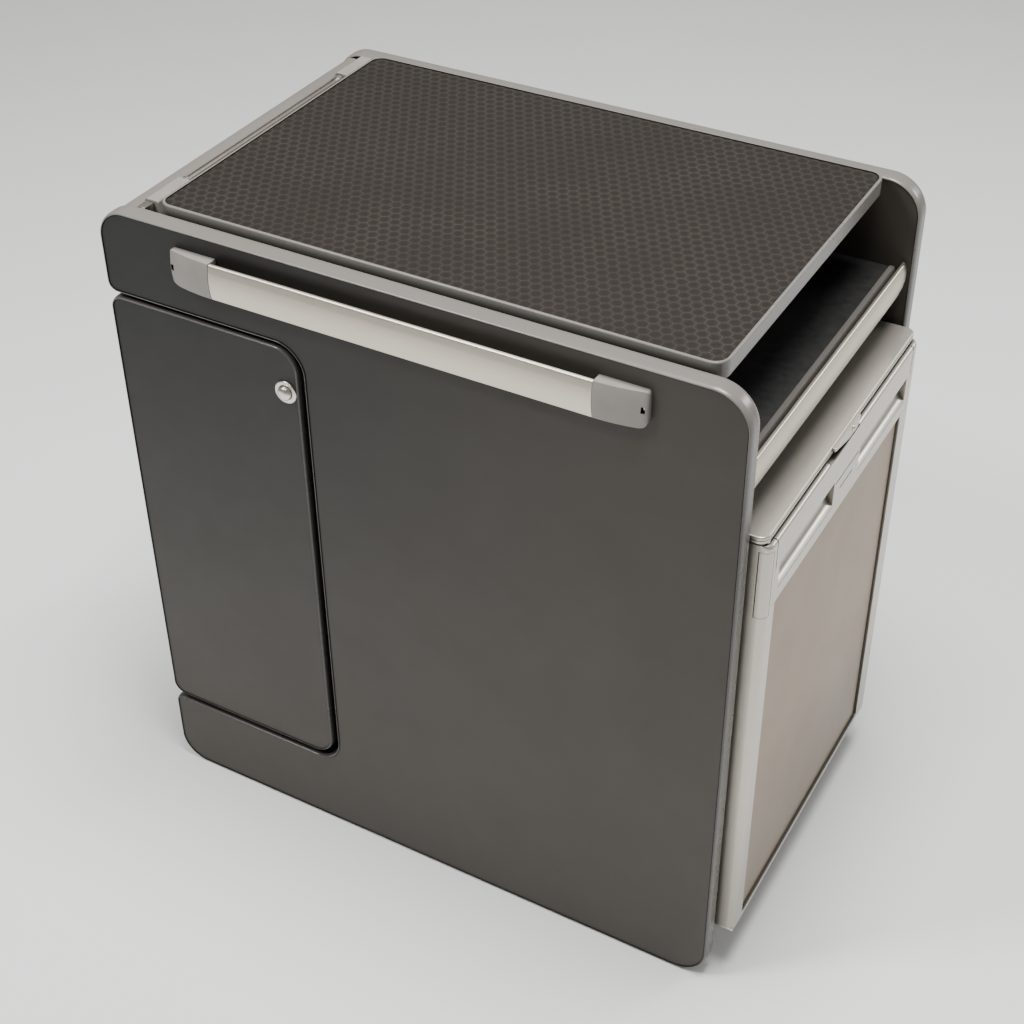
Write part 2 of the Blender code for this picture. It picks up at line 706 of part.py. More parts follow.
def end_board(pod):
    """The board under the lid hinge, with a straight length of trim on its top edge."""
    left = END_LEFT + LIP_STEP
    top = END_TOP - TRIM_RISE
    middle = (left + END_INNER) / 2
    half = STEM_WIDTH / 2 + GAP
    groove = top - STEM_LENGTH
    section = [(left, END_BOTTOM), (END_INNER, END_BOTTOM), (END_INNER, top), (middle + half, top)]
    section += [(middle + half, groove), (middle - half, groove), (middle - half, top), (left, top)]
    add("end_board", prism(section, side_view, ROOM_NEAR, ROOM_FAR), "black_board", pod)
    trim = [(END_LEFT + across, END_TOP - inset) for across, inset in trim_section(END_BOARD + 2 * LIP_STEP)]
    add("end_board_trim", prism(trim, side_view, ROOM_NEAR, ROOM_FAR), "trim_plastic", pod)


def base(pod):
    """The base board between the panels, and the steel angles under it whose feet are screwed down."""
    board = block((INNER_LEFT, BASE_RIGHT), (BUTT_NEAR, BUTT_FAR), (BASE_BOTTOM, BASE_TOP))
    add("base_board", board, "black_board", pod)
    for name, wall, inward in (("floor_angle_near", ROOM_NEAR, 1), ("floor_angle_far", ROOM_FAR, -1)):
        toe = wall + inward * ANGLE_FOOT
        inner = wall + inward * ANGLE_METAL
        under = ANGLE_TOP - ANGLE_METAL
        section = [(wall, 0), (toe, 0), (toe, ANGLE_METAL), (inner, ANGLE_METAL)]
        section += [(inner, under), (toe, under), (toe, ANGLE_TOP), (wall, ANGLE_TOP)]
        piece = add(name, prism(section, end_view, ANGLE_LEFT, ANGLE_RIGHT), "zinc_steel", pod)
        holes = []
        for x in spread(ANGLE_LEFT + ANGLE_HOLE_INSET, ANGLE_RIGHT - ANGLE_HOLE_INSET, ANGLE_HOLES):
            holes.append(rod(ANGLE_HOLE_RADIUS, -OVERRUN, OVERRUN, (x, (inner + toe) / 2), plan_view))
        cut([piece], together(holes), name + "_holes")


def divider(pod):
    """The board between the cupboard and the fridge bay."""
    zs = (BASE_TOP + GAP, SHELF_BOTTOM - GAP)
    add("divider_board", block((DIVIDER_LEFT, DIVIDER_RIGHT), (BUTT_NEAR, BUTT_FAR), zs), "black_board", pod)


def cupboard_shelf(pod):
    """The shelf halfway up the cupboard, between the end board and the divider."""
    xs = (INNER_LEFT, DIVIDER_LEFT - GAP)
    ys = (ROOM_NEAR + CUPBOARD_SHELF_SETBACK, ROOM_FAR)
    zs = (CUPBOARD_SHELF_TOP - CUPBOARD_SHELF_BOARD, CUPBOARD_SHELF_TOP)
    add("cupboard_shelf", block(xs, ys, zs), "black_board", pod)


def worktop_shelf(pod):
    """The shelf under the lid, cut out for the hob and the sink, with trim on its front edge."""
    middle = SHELF_TOP - SHELF_BOARD / 2
    half = STEM_WIDTH / 2 + GAP
    groove = SHELF_RIGHT - STEM_LENGTH
    section = [(INNER_LEFT, SHELF_BOTTOM), (SHELF_RIGHT, SHELF_BOTTOM), (SHELF_RIGHT, middle - half)]
    section += [(groove, middle - half), (groove, middle + half), (SHELF_RIGHT, middle + half)]
    section += [(SHELF_RIGHT, SHELF_TOP), (INNER_LEFT, SHELF_TOP)]
    shelf = add("shelf_board", prism(section, side_view, ROOM_NEAR, ROOM_FAR), "black_board", pod)
    holes = []
    for corners in (hob_corners(), sink_corners()):
        layers = [(SHELF_BOTTOM - OVERRUN, FLANGE - GAP), (SHELF_TOP + OVERRUN, FLANGE - GAP)]
        holes.append(stack(corners, layers, plan_view))
    cut([shelf], together(holes), "worktop_cutouts")
    lower = SHELF_BOTTOM - LIP_STEP
    trim = [(SHELF_CROWN - inset, lower + across) for across, inset in trim_section(SHELF_BOARD + 2 * LIP_STEP)]
    add("shelf_edge_trim", prism(trim, side_view, ROOM_NEAR, ROOM_FAR), "trim_plastic", pod)


# Rails


def rail_front(height, depth, bulge):
    """The bulged front of a rail as (out from its seat, up), from bottom to top."""
    points = []
    for step in range(BULGE_STEPS + 1):
        share = 2 * step / BULGE_STEPS - 1
        points.append((depth - bulge * share * share, height * step / BULGE_STEPS))
    return points


def rail_section(height, depth, bulge):
    """The open rail profile: front wall, floor and back flange."""
    front = rail_front(height, depth, bulge)
    back = [(out - RAIL_WALL, up) for out, up in reversed(front[1:])]
    floor_out = depth - bulge - RAIL_WALL
    points = front + back + [(floor_out, RAIL_WALL), (RAIL_FLANGE, RAIL_WALL)]
    return points + [(RAIL_FLANGE, RAIL_FLANGE_HEIGHT), (0, RAIL_FLANGE_HEIGHT), (0, 0)]


def spread(first, last, count):
    """Evenly spaced places from first to last."""
    return [first + (last - first) * index / (count - 1) for index in range(count)]


def rails(pod):
    """The table rail on the near panel, and the rail along the worktop shelf."""
    points = rail_section(TABLE_RAIL_HEIGHT, TABLE_RAIL_DEPTH, TABLE_RAIL_BULGE)
    points = [(TABLE_RAIL_SEAT - out, TABLE_RAIL_BOTTOM + up) for out, up in points]
    add("table_rail", prism(points, end_view, TABLE_RAIL_LEFT, TABLE_RAIL_RIGHT), "aluminium", pod)
    points = rail_section(FRONT_RAIL_HEIGHT, FRONT_RAIL_DEPTH, FRONT_RAIL_BULGE)
    points = [(FRONT_RAIL_SEAT + out, FRONT_RAIL_BOTTOM + up) for out, up in points]
    front = add("front_rail", prism(points, side_view, FRONT_RAIL_NEAR, FRONT_RAIL_FAR), "aluminium", pod)
    cut([front], front_rail_end(), "front_rail_end")


def front_rail_end():
    """What is taken off the front rail's lower far corner to round it."""
    far = FRONT_RAIL_FAR
    low = FRONT_RAIL_BOTTOM
    radius = FRONT_RAIL_END_RADIUS
    points = [(far + OVERRUN, low - OVERRUN), (far + OVERRUN, low + radius)]
    for step in range(CORNER_STEPS + 1):
        angle = math.pi / 2 * step / CORNER_STEPS
        points.append((far - radius + radius * math.cos(angle), low + radius - radius * math.sin(angle)))
    points.append((far - radius, low - OVERRUN))
    return prism(points, end_view, FRONT_RAIL_SEAT - GAP, FRONT_RAIL_SEAT + FRONT_RAIL_DEPTH + OVERRUN)


def rail_cap(name, seam, outward, pod):
    """A moulded end cap: it carries the rail's bulge on, and falls away to a thin rounded end."""
    front = rail_front(TABLE_RAIL_HEIGHT, TABLE_RAIL_DEPTH, TABLE_RAIL_BULGE)
    stations = []
    straight = RAIL_CAP_LENGTH - RAIL_CAP_CORNER
    for step in range(BULGE_STEPS + 1):
        share = step / BULGE_STEPS
        stations.append((straight * share, share * share))
    rings = []
    change = RAIL_CAP_END_DEPTH - TABLE_RAIL_DEPTH + TABLE_RAIL_BULGE
    for along, fall in stations:
        points = [(out + change * fall, up) for out, up in front]
        rings.append((along, points + [(0, TABLE_RAIL_HEIGHT), (0, 0)]))
    last = rings[-1][1]
    for step in range(1, SMALL_STEPS + 1):
        angle = math.pi / 2 * step / SMALL_STEPS
        along = straight + RAIL_CAP_CORNER * math.sin(angle)
        drawn_in = RAIL_CAP_CORNER * (1 - math.cos(angle))
        rings.append((along, [(max(out - drawn_in, 0) if out > 0 else 0, up) for out, up in last]))
    placed = []
    for along, points in rings:
        x = seam + outward * (GAP + along)
        placed.append([(x, TABLE_RAIL_SEAT - out, TABLE_RAIL_BOTTOM + up) for out, up in points])
    add(name, skin(placed), "cap_plastic", pod)


# Lid and its hinge


def lid_hinge_fixed(pod):
    """The hinge rod and the two moulded blocks that carry its ends."""
    centre = (HINGE_X, HINGE_Z)
    add("hinge_rod", rod(ROD_RADIUS, ROOM_NEAR + GAP, ROOM_FAR - GAP, centre, side_view), "aluminium", pod)
    far_start = ROOM_FAR - BLOCK_LENGTH
    for name, start, mouth in (
        ("hinge_block_near", BLOCK_NEAR_START, BLOCK_NEAR_START),
        ("hinge_block_far", far_start, far_start + BLOCK_LENGTH),
    ):
        bottom = BLOCK_TOP - BLOCK_HEIGHT
        corners = [(BLOCK_LEFT, bottom, 0), (BLOCK_RIGHT, bottom, 0)]
        corners += [(BLOCK_RIGHT, BLOCK_TOP, BLOCK_EDGE), (BLOCK_LEFT, BLOCK_TOP, BLOCK_EDGE)]
        outline = ring(corners, steps=SMALL_STEPS)
        piece = add(name, prism(outline, side_view, start, start + BLOCK_LENGTH), "cap_plastic", pod)
        bore = rod(ROD_RADIUS + GAP, start - OVERRUN, start + BLOCK_LENGTH + OVERRUN, centre, side_view)
        cut([piece], bore, name + "_bore")
        xs = (BLOCK_LEFT + BLOCK_WALL, BLOCK_RIGHT - BLOCK_LEG)
        ys = (mouth - BLOCK_POCKET, mouth + BLOCK_POCKET)
        zs = (bottom - OVERRUN, BLOCK_TOP - BLOCK_LEG / 2)
        cut([piece], block(xs, ys, zs), name + "_pocket")


def lid_arm(start, plate_start):
    """One hinge arm: a knuckle round the rod, and a plate under the lid."""
    plate_top = LID_BOTTOM - GAP
    plate_bottom = plate_top - ARM_METAL
    plate_end = LID_LEFT + ARM_REACH
    points = [(HINGE_X + ARM_NECK_START, plate_bottom), (plate_end, plate_bottom), (plate_end, plate_top)]
    points.append((HINGE_X + ARM_NECK_START + ARM_METAL, plate_top))
    for angle in spread(ARM_KNUCKLE_START, ARM_KNUCKLE_END, ROUND_STEPS + 1):
        x = HINGE_X + ARM_KNUCKLE_RADIUS * math.cos(angle)
        points.append((x, HINGE_Z + ARM_KNUCKLE_RADIUS * math.sin(angle)))
    arm = prism(points, side_view, start, start + ARM_WIDTH)
    xs = (plate_end - ARM_PLATE_LENGTH, plate_end)
    plate = block(xs, (plate_start, plate_start + ARM_PLATE_WIDTH), (plate_bottom, plate_top))
    return arm, plate


def lid(pod):
    """The lid, and the arms that it turns on."""
    axis = carrier("lid_axis", (HINGE_X, POD_DEPTH / 2, HINGE_Z), pod)
    corners = rectangle(LID_LEFT, LID_RIGHT, LID_NEAR, LID_FAR, LID_RADIUS)
    trimmed_board(("lid_board", "lid_trim"), corners, LID_BOTTOM, LID_BOARD, plan_view, "lid_laminate", axis)
    near_start = BLOCK_NEAR_START + BLOCK_LENGTH + ARM_SIDE_GAP
    far_start = ROOM_FAR - BLOCK_LENGTH - ARM_SIDE_GAP - ARM_WIDTH
    arms = (
        ("lid_arm_near", near_start, near_start),
        ("lid_arm_far", far_start, far_start + ARM_WIDTH - ARM_PLATE_WIDTH),
    )
    for name, start, plate_start in arms:
        arm, plate = lid_arm(start, plate_start)
        piece = add(name, arm, "zinc_steel", axis)
        fuse(piece, plate, name + "_plate")
        cut([piece], rod(ROD_RADIUS + GAP, LID_NEAR, LID_FAR, (HINGE_X, HINGE_Z), side_view), name + "_bore")


def corner_brackets(pod):
    """Two angles that tie the end board to the side panels. The far one sits under its hinge block."""
    under_block = BLOCK_TOP - BLOCK_HEIGHT - GAP
    brackets = (
        ("corner_bracket_near", BUTT_NEAR, 1, CORNER_TOP),
        ("corner_bracket_far", BUTT_FAR, -1, under_block),
    )
    for name, wall, inward, top in brackets:
        metal = wall + inward * CORNER_METAL
        reach = wall + inward * CORNER_LEG
        points = [(INNER_LEFT, wall), (INNER_LEFT + CORNER_LEG, wall), (INNER_LEFT + CORNER_LEG, metal)]
        points += [(INNER_LEFT + CORNER_METAL, metal), (INNER_LEFT + CORNER_METAL, reach), (INNER_LEFT, reach)]
        add(name, prism(points, plan_view, top - CORNER_HEIGHT, top), "zinc_steel", pod)


# Cupboard door, its hinges and its push lock


def door_hinge(which, bottom, pod, door_axis):
    """A hinge: the frame's leaf holds the pin between two knuckles, and the door's leaf turns on it."""
    centre = (DOOR_PIN_X, DOOR_PIN_Y)
    top = bottom + HINGE_HEIGHT
    lower = bottom + HINGE_HEIGHT * FRAME_KNUCKLE_SHARE
    upper = top - HINGE_HEIGHT * FRAME_KNUCKLE_SHARE
    profile = [(KNUCKLE_RADIUS, bottom), (KNUCKLE_RADIUS, lower), (DOOR_PIN_RADIUS, lower)]
    profile += [(DOOR_PIN_RADIUS, upper), (KNUCKLE_RADIUS, upper), (KNUCKLE_RADIUS, top)]
    frame = add("door_hinge_frame_" + which, lathe(profile, centre, plan_view), "zinc_steel", pod)
    leaf_right = END_LEFT + LIP_STEP - GAP
    leaf_left = leaf_right - LEAF_METAL
    web_near = DOOR_PIN_Y - LEAF_METAL / 2
    web_far = DOOR_PIN_Y + LEAF_METAL / 2
    points = [(DOOR_PIN_X, web_near), (leaf_right, web_near), (leaf_right, FRAME_LEAF_FAR)]
    points += [(leaf_left, FRAME_LEAF_FAR), (leaf_left, web_far), (DOOR_PIN_X, web_far)]
    fuse(frame, prism(points, plan_view, bottom, top), "door_hinge_frame_leaf_" + which)
    door_zs = (lower + GAP, upper - GAP)
    notch_xs = (DOOR_PIN_X - KNUCKLE_RADIUS, leaf_left - GAP)
    notch = block(notch_xs, (web_near - GAP, web_far + GAP), (lower, upper))
    cut([frame], notch, "door_hinge_frame_notch_" + which)
    fuse(frame, rod(DOOR_PIN_RADIUS, lower - GAP, upper + GAP, centre, plan_view), "door_hinge_pin_" + which)
    ys = (TRIM_WIDTH + GAP, TRIM_WIDTH + GAP + LEAF_METAL)
    leaf = add("door_hinge_leaf_" + which, block((LEAF_LEFT, LEAF_RIGHT), ys, door_zs), "zinc_steel", door_axis)
    fuse(leaf, rod(KNUCKLE_RADIUS, *door_zs, centre, plan_view), "door_hinge_knuckle_" + which)
    cut([leaf], rod(DOOR_PIN_RADIUS + GAP, bottom, top, centre, plan_view), "door_hinge_bore_" + which)


def cupboard_door(pod):
    """The door leaf, its trim, and the lock's rosette and case."""
    axis = carrier("door_axis", (DOOR_PIN_X, DOOR_PIN_Y, (DOOR_BOTTOM + DOOR_TOP) / 2), pod)
    corners = [
        (0, DOOR_BOTTOM, DOOR_LEFT_RADIUS),
        (DOOR_RIGHT, DOOR_BOTTOM, DOOR_RIGHT_RADIUS),
        (DOOR_RIGHT, DOOR_TOP, DOOR_RIGHT_RADIUS),
        (0, DOOR_TOP, DOOR_LEFT_RADIUS),
    ]
    names = ("cupboard_door_board", "cupboard_door_trim")
    door_pieces = trimmed_board(names, corners, 0, BOARD, side_view, "panel_laminate", axis)
    centre = (LOCK_X, LOCK_Z)
    hole = rod(LOCK_TUBE_RADIUS + GAP, -OVERRUN, TRIM_WIDTH + OVERRUN, centre, side_view)
    cut(door_pieces, hole, "lock_hole")
    door_hinge("lower", DOOR_BOTTOM + HINGE_INSET, pod, axis)
    door_hinge("upper", DOOR_TOP - HINGE_INSET - HINGE_HEIGHT, pod, axis)
    push_lock(axis, centre)


def push_lock(axis, centre):
    """The rosette, the case behind the door, the button and the bolt."""
    seat = PANEL_FACE - GAP
    front = seat - ROSETTE_RISE
    inner = BUTTON_RADIUS + GAP
    profile = [(inner, seat), (inner, front), (ROSETTE_RADIUS - ROSETTE_RISE, front)]
    profile += [(ROSETTE_RADIUS, seat - GAP), (ROSETTE_RADIUS, seat)]
    rosette = lathe(profile, centre, side_view, closed=True, steps=ROUND_STEPS * 2)
    add("lock_rosette", rosette, "nickel", axis)

    case_near = NEAR_INNER + GAP
    case_far = case_near + CASE_DEPTH
    case_zs = (LOCK_Z - CASE_HEIGHT / 2, LOCK_Z + CASE_HEIGHT / 2)
    body = block((CASE_LEFT, CASE_RIGHT), (case_near, case_far), case_zs)
    case = add("lock_case", body, "black_plastic", axis)
    channel_xs = (CASE_LEFT + BOLT_TAIL, CASE_RIGHT + OVERRUN)
    channel_zs = (LOCK_Z - BOLT_HEIGHT / 2 - GAP, LOCK_Z + BOLT_HEIGHT / 2 + GAP)
    channel = block(channel_xs, (BOLT_NEAR - GAP, BOLT_FAR + GAP), channel_zs)
    cut([case], channel, "bolt_channel")
    fuse(case, rod(LOCK_TUBE_RADIUS, PANEL_FACE, case_near + GAP, centre, side_view), "lock_tube")
    bore_end = BUTTON_INNER_END + BUTTON_TRAVEL + GAP
    cut([case], rod(BUTTON_RADIUS + GAP, -OVERRUN, bore_end, centre, side_view), "button_bore")

    tip = seat - BUTTON_RISE
    button_axis = carrier("button_axis", (LOCK_X, tip, LOCK_Z), axis.parent)
    profile = [(BUTTON_RADIUS, BUTTON_INNER_END), (BUTTON_RADIUS, tip + BUTTON_DOME)]
    for step in range(1, SMALL_STEPS):
        angle = math.pi / 2 * step / SMALL_STEPS
        profile.append((BUTTON_RADIUS * math.cos(angle), tip + BUTTON_DOME * (1 - math.sin(angle))))
    add("lock_button", lathe(profile, centre, side_view), "nickel", button_axis)

    bolt_tip = CASE_RIGHT + BOLT_NOSE
    bolt_axis = carrier("bolt_axis", (bolt_tip, (BOLT_NEAR + BOLT_FAR) / 2, LOCK_Z), axis.parent)
    bolt_zs = (LOCK_Z - BOLT_HEIGHT / 2, LOCK_Z + BOLT_HEIGHT / 2)
    bolt = block((CASE_LEFT + BOLT_TAIL + GAP, bolt_tip), (BOLT_NEAR, BOLT_FAR), bolt_zs)
    add("lock_bolt", bolt, "zinc_steel", bolt_axis)


def lock_strike(pod):
    """The angle on the divider that the bolt shoots behind."""
    plate_right = DIVIDER_LEFT - GAP
    plate_left = plate_right - STRIKE_METAL
    catch_far = BOLT_NEAR - STRIKE_CLEARANCE
    catch_near = catch_far - STRIKE_METAL
    points = [(plate_right - STRIKE_REACH, catch_near), (plate_right, catch_near)]
    points += [(plate_right, catch_near + STRIKE_LENGTH), (plate_left, catch_near + STRIKE_LENGTH)]
    points += [(plate_left, catch_far), (plate_right - STRIKE_REACH, catch_far)]
    zs = (LOCK_Z - STRIKE_HEIGHT / 2, LOCK_Z + STRIKE_HEIGHT / 2)
    add("lock_strike", prism(points, plan_view, *zs), "zinc_steel", pod)


# Fridge


def fridge_space(inset, right):
    """The fridge's inside in side view, stepped over the machine room, drawn in by inset."""
    wall = INSULATION + inset
    left = FRIDGE_LEFT + wall
    step_x = FRIDGE_LEFT + MACHINE_ROOM_LENGTH + wall
    step_z = FRIDGE_BOTTOM + MACHINE_ROOM_HEIGHT + wall
    bottom = FRIDGE_BOTTOM + wall
    top = FRIDGE_TOP - wall
    return [(step_x, bottom), (right, bottom), (right, top), (left, top), (left, step_z), (step_x, step_z)]


def fridge_body(pod):
    """The insulated cabinet and the moulded liner inside it."""
    step_x = FRIDGE_LEFT + MACHINE_ROOM_LENGTH
    step_z = FRIDGE_BOTTOM + MACHINE_ROOM_HEIGHT
    outline = [(step_x, FRIDGE_BOTTOM), (FRIDGE_FRONT, FRIDGE_BOTTOM), (FRIDGE_FRONT, FRIDGE_TOP)]
    outline += [(FRIDGE_LEFT, FRIDGE_TOP), (FRIDGE_LEFT, step_z), (step_x, step_z)]
    cabinet = add("fridge_cabinet", prism(outline, side_view, FRIDGE_NEAR, FRIDGE_FAR), "fridge_silver", pod)
    near = FRIDGE_NEAR + INSULATION
    far = FRIDGE_FAR - INSULATION
    cut([cabinet], prism(fridge_space(0, FRIDGE_FRONT + OVERRUN), side_view, near, far), "fridge_hollow")
    liner_outside = prism(fridge_space(GAP, FRIDGE_FRONT - GAP), side_view, near + GAP, far - GAP)
    liner = add("fridge_liner", liner_outside, "fridge_white", pod)
    wall = GAP + LINER_WALL
    hollow = prism(fridge_space(wall, FRIDGE_FRONT + OVERRUN), side_view, near + wall, far - wall)
    cut([liner], hollow, "liner_hollow")


def fridge_top_plate(pod):
    """The plate over the fridge, rounded at its front corners, with the door's upper pin under it."""
    corners = [
        (DIVIDER_RIGHT + GAP, FRIDGE_NEAR - PLATE_OVERHANG, PLATE_EDGE),
        (PLATE_FRONT, FRIDGE_NEAR - PLATE_OVERHANG, PLATE_RADIUS),
        (PLATE_FRONT, FRIDGE_FAR, PLATE_RADIUS),
        (DIVIDER_RIGHT + GAP, FRIDGE_FAR, PLATE_EDGE),
    ]
    layers = [(PLATE_BOTTOM, 0), (PLATE_TOP - PLATE_EDGE, 0), (PLATE_TOP, PLATE_EDGE / 2)]
    plate = add("fridge_top_plate", stack(corners, layers, plan_view), "fridge_silver", pod)
    end = FRIDGE_DOOR_TOP - FRIDGE_PIN_LENGTH
    centre = (FRIDGE_HINGE_X, FRIDGE_HINGE_Y)
    fuse(plate, rod(FRIDGE_PIN_RADIUS, end, PLATE_BOTTOM + PLATE_EDGE, centre, plan_view), "upper_hinge_pin")


def fridge_inside(pod):
    """The cooling plate, the wire shelf and the compressor behind."""
    wall = INSULATION + GAP + LINER_WALL + GAP
    near = FRIDGE_NEAR + wall
    far = FRIDGE_FAR - wall
    left = FRIDGE_LEFT + wall
    top = FRIDGE_TOP - wall
    xs = (left, left + EVAPORATOR_LENGTH)
    ys = (near + EVAPORATOR_INSET, far - EVAPORATOR_INSET)
    add("fridge_evaporator", block(xs, ys, (top - EVAPORATOR_THICKNESS, top)), "aluminium", pod)

    slots = []
    right = FRIDGE_FRONT - WIRE_SHELF_SETBACK
    bottom = WIRE_SHELF_TOP - WIRE_SHELF_THICKNESS
    pitch = (far - near - 2 * WIRE_SHELF_BORDER + WIRE_SHELF_BAR) / WIRE_SHELF_SLOTS
    shelf = add("fridge_wire_shelf", block((left, right), (near, far), (bottom, WIRE_SHELF_TOP)), "nickel", pod)
    for index in range(WIRE_SHELF_SLOTS):
        start = near + WIRE_SHELF_BORDER + pitch * index
        slot_xs = (left + WIRE_SHELF_BORDER, right - WIRE_SHELF_BORDER)
        slot_zs = (bottom - OVERRUN, WIRE_SHELF_TOP + OVERRUN)
        slots.append(block(slot_xs, (start, start + pitch - WIRE_SHELF_BAR), slot_zs))
    cut([shelf], together(slots), "wire_shelf_slots")

    centre = (FRIDGE_LEFT + MACHINE_ROOM_LENGTH / 2, FRIDGE_MIDDLE)
    foot = FRIDGE_BOTTOM
    profile = [(COMPRESSOR_FOOT_RADIUS, foot), (COMPRESSOR_RADIUS, foot + COMPRESSOR_FOOT)]
    profile.append((COMPRESSOR_RADIUS, foot + COMPRESSOR_HEIGHT - COMPRESSOR_SHOULDER))
    profile.append((COMPRESSOR_CAP_RADIUS, foot + COMPRESSOR_HEIGHT))
    add("compressor", lathe(profile, centre, plan_view), "black_plastic", pod)


def fridge_hinge_bracket(pod):
    """The angle on the base board whose pin the door's lower end turns on."""
    centre = (FRIDGE_HINGE_X, FRIDGE_HINGE_Y)
    plate_top = FRIDGE_DOOR_BOTTOM - GAP
    plate_bottom = plate_top - HINGE_PLATE
    leg_left = BASE_RIGHT + GAP
    plate_end = FRIDGE_HINGE_X + FRIDGE_PIN_RADIUS + HINGE_PLATE
    leg_right = leg_left + HINGE_PLATE
    points = [(leg_left, BASE_BOTTOM), (leg_right, BASE_BOTTOM), (leg_right, plate_bottom)]
    points += [(plate_end, plate_bottom), (plate_end, plate_top), (leg_left, plate_top)]
    angle = prism(points, side_view, HINGE_PLATE_NEAR, HINGE_PLATE_FAR)
    piece = add("fridge_hinge_bracket", angle, "zinc_steel", pod)
    end = FRIDGE_DOOR_BOTTOM + FRIDGE_PIN_LENGTH
    fuse(piece, rod(FRIDGE_PIN_RADIUS, plate_top - HINGE_PLATE / 2, end, centre, plan_view), "lower_hinge_pin")


def door_body():
    """The fridge door's foam-filled body: rounded at its front edges, its top edge rolled back."""
    rings = []
    for step in range(SMALL_STEPS + 1):
        angle = math.pi / 2 * step / SMALL_STEPS
        front = DOOR_FRONT - DOOR_ROLL * (1 - math.cos(angle))
        corners = [
            (DOOR_BACK, FRIDGE_NEAR, 0),
            (front, FRIDGE_NEAR, DOOR_EDGE_RADIUS),
            (front, FRIDGE_FAR, DOOR_EDGE_RADIUS),
            (DOOR_BACK, FRIDGE_FAR, 0),
        ]
        rings.append((FRIDGE_DOOR_TOP - DOOR_ROLL * (1 - math.sin(angle)), ring(corners)))
    rings.insert(0, (FRIDGE_DOOR_BOTTOM, rings[0][1]))
    return skin([[plan_view(u, v, height) for u, v in points] for height, points in rings])


def cover_plan(thickness, slack):
    """The hinge cover's section in plan: it wraps the door's near front edge."""
    centre_x = DOOR_FRONT - DOOR_EDGE_RADIUS
    centre_y = FRIDGE_NEAR + DOOR_EDGE_RADIUS
    outer = [(COVER_BACK - slack, FRIDGE_NEAR)]
    inner = [(COVER_BACK - slack, FRIDGE_NEAR + thickness)]
    for step in range(CORNER_STEPS + 1):
        angle = math.pi / 2 * step / CORNER_STEPS
        for points, radius in ((outer, DOOR_EDGE_RADIUS), (inner, DOOR_EDGE_RADIUS - thickness)):
            points.append((centre_x + radius * math.sin(angle), centre_y - radius * math.cos(angle)))
    if slack:
        outer = [(u, FRIDGE_NEAR - OVERRUN) for u in (COVER_BACK - slack, DOOR_FRONT + OVERRUN)]
        outer.append((DOOR_FRONT + OVERRUN, centre_y + slack))
        inner.append((centre_x + DOOR_EDGE_RADIUS - thickness, centre_y + slack))
    return outer + list(reversed(inner))


def fridge_door(pod):
    """The door with its fascia, decor panel, seals, liner, hinge cover and latch."""
    place = (FRIDGE_HINGE_X, FRIDGE_HINGE_Y, (FRIDGE_DOOR_BOTTOM + FRIDGE_DOOR_TOP) / 2)
    axis = carrier("fridge_door_axis", place, pod)
    shell = add("fridge_door_shell", door_body(), "fridge_silver", axis)
    pocket_back = FASCIA_BACK - GAP
    pocket = block((pocket_back, DOOR_FRONT + OVERRUN), (FASCIA_NEAR, FASCIA_FAR), (FASCIA_BOTTOM, DOOR_OVER))
    cut([shell], pocket, "fascia_pocket")
    recess_back = DOOR_FRONT - DECOR_RECESS - DECOR_THICKNESS - GAP
    recess_top = FASCIA_BOTTOM + GAP
    corners = rectangle(DECOR_NEAR, DECOR_FAR, DECOR_BOTTOM, recess_top, DECOR_RADIUS)
    layers = [(recess_back, 0), (DOOR_FRONT + OVERRUN, 0)]
    cut([shell], stack(corners, layers, end_view, steps=SMALL_STEPS), "decor_recess")
    centre = (FRIDGE_HINGE_X, FRIDGE_HINGE_Y)
    bore = FRIDGE_PIN_RADIUS + GAP
    depth = FRIDGE_PIN_LENGTH + GAP
    bores = [rod(bore, FRIDGE_DOOR_BOTTOM - OVERRUN, FRIDGE_DOOR_BOTTOM + depth, centre, plan_view)]
    bores.append(rod(bore, FRIDGE_DOOR_TOP - depth, DOOR_OVER, centre, plan_view))
    cut([shell], together(bores), "door_pin_bores")
    cover_space = prism(cover_plan(COVER_THICKNESS + GAP, GAP), plan_view, COVER_BOTTOM - GAP, COVER_TOP + GAP)
    cut([shell], cover_space, "hinge_cover_seat")
    cover = prism(cover_plan(COVER_THICKNESS, 0), plan_view, COVER_BOTTOM, COVER_TOP)
    add("fridge_hinge_cover", cover, "fridge_silver", axis)
    fridge_fascia(axis)
    decor(axis, recess_back)
    door_seals(axis)
    fridge_latch(pod)


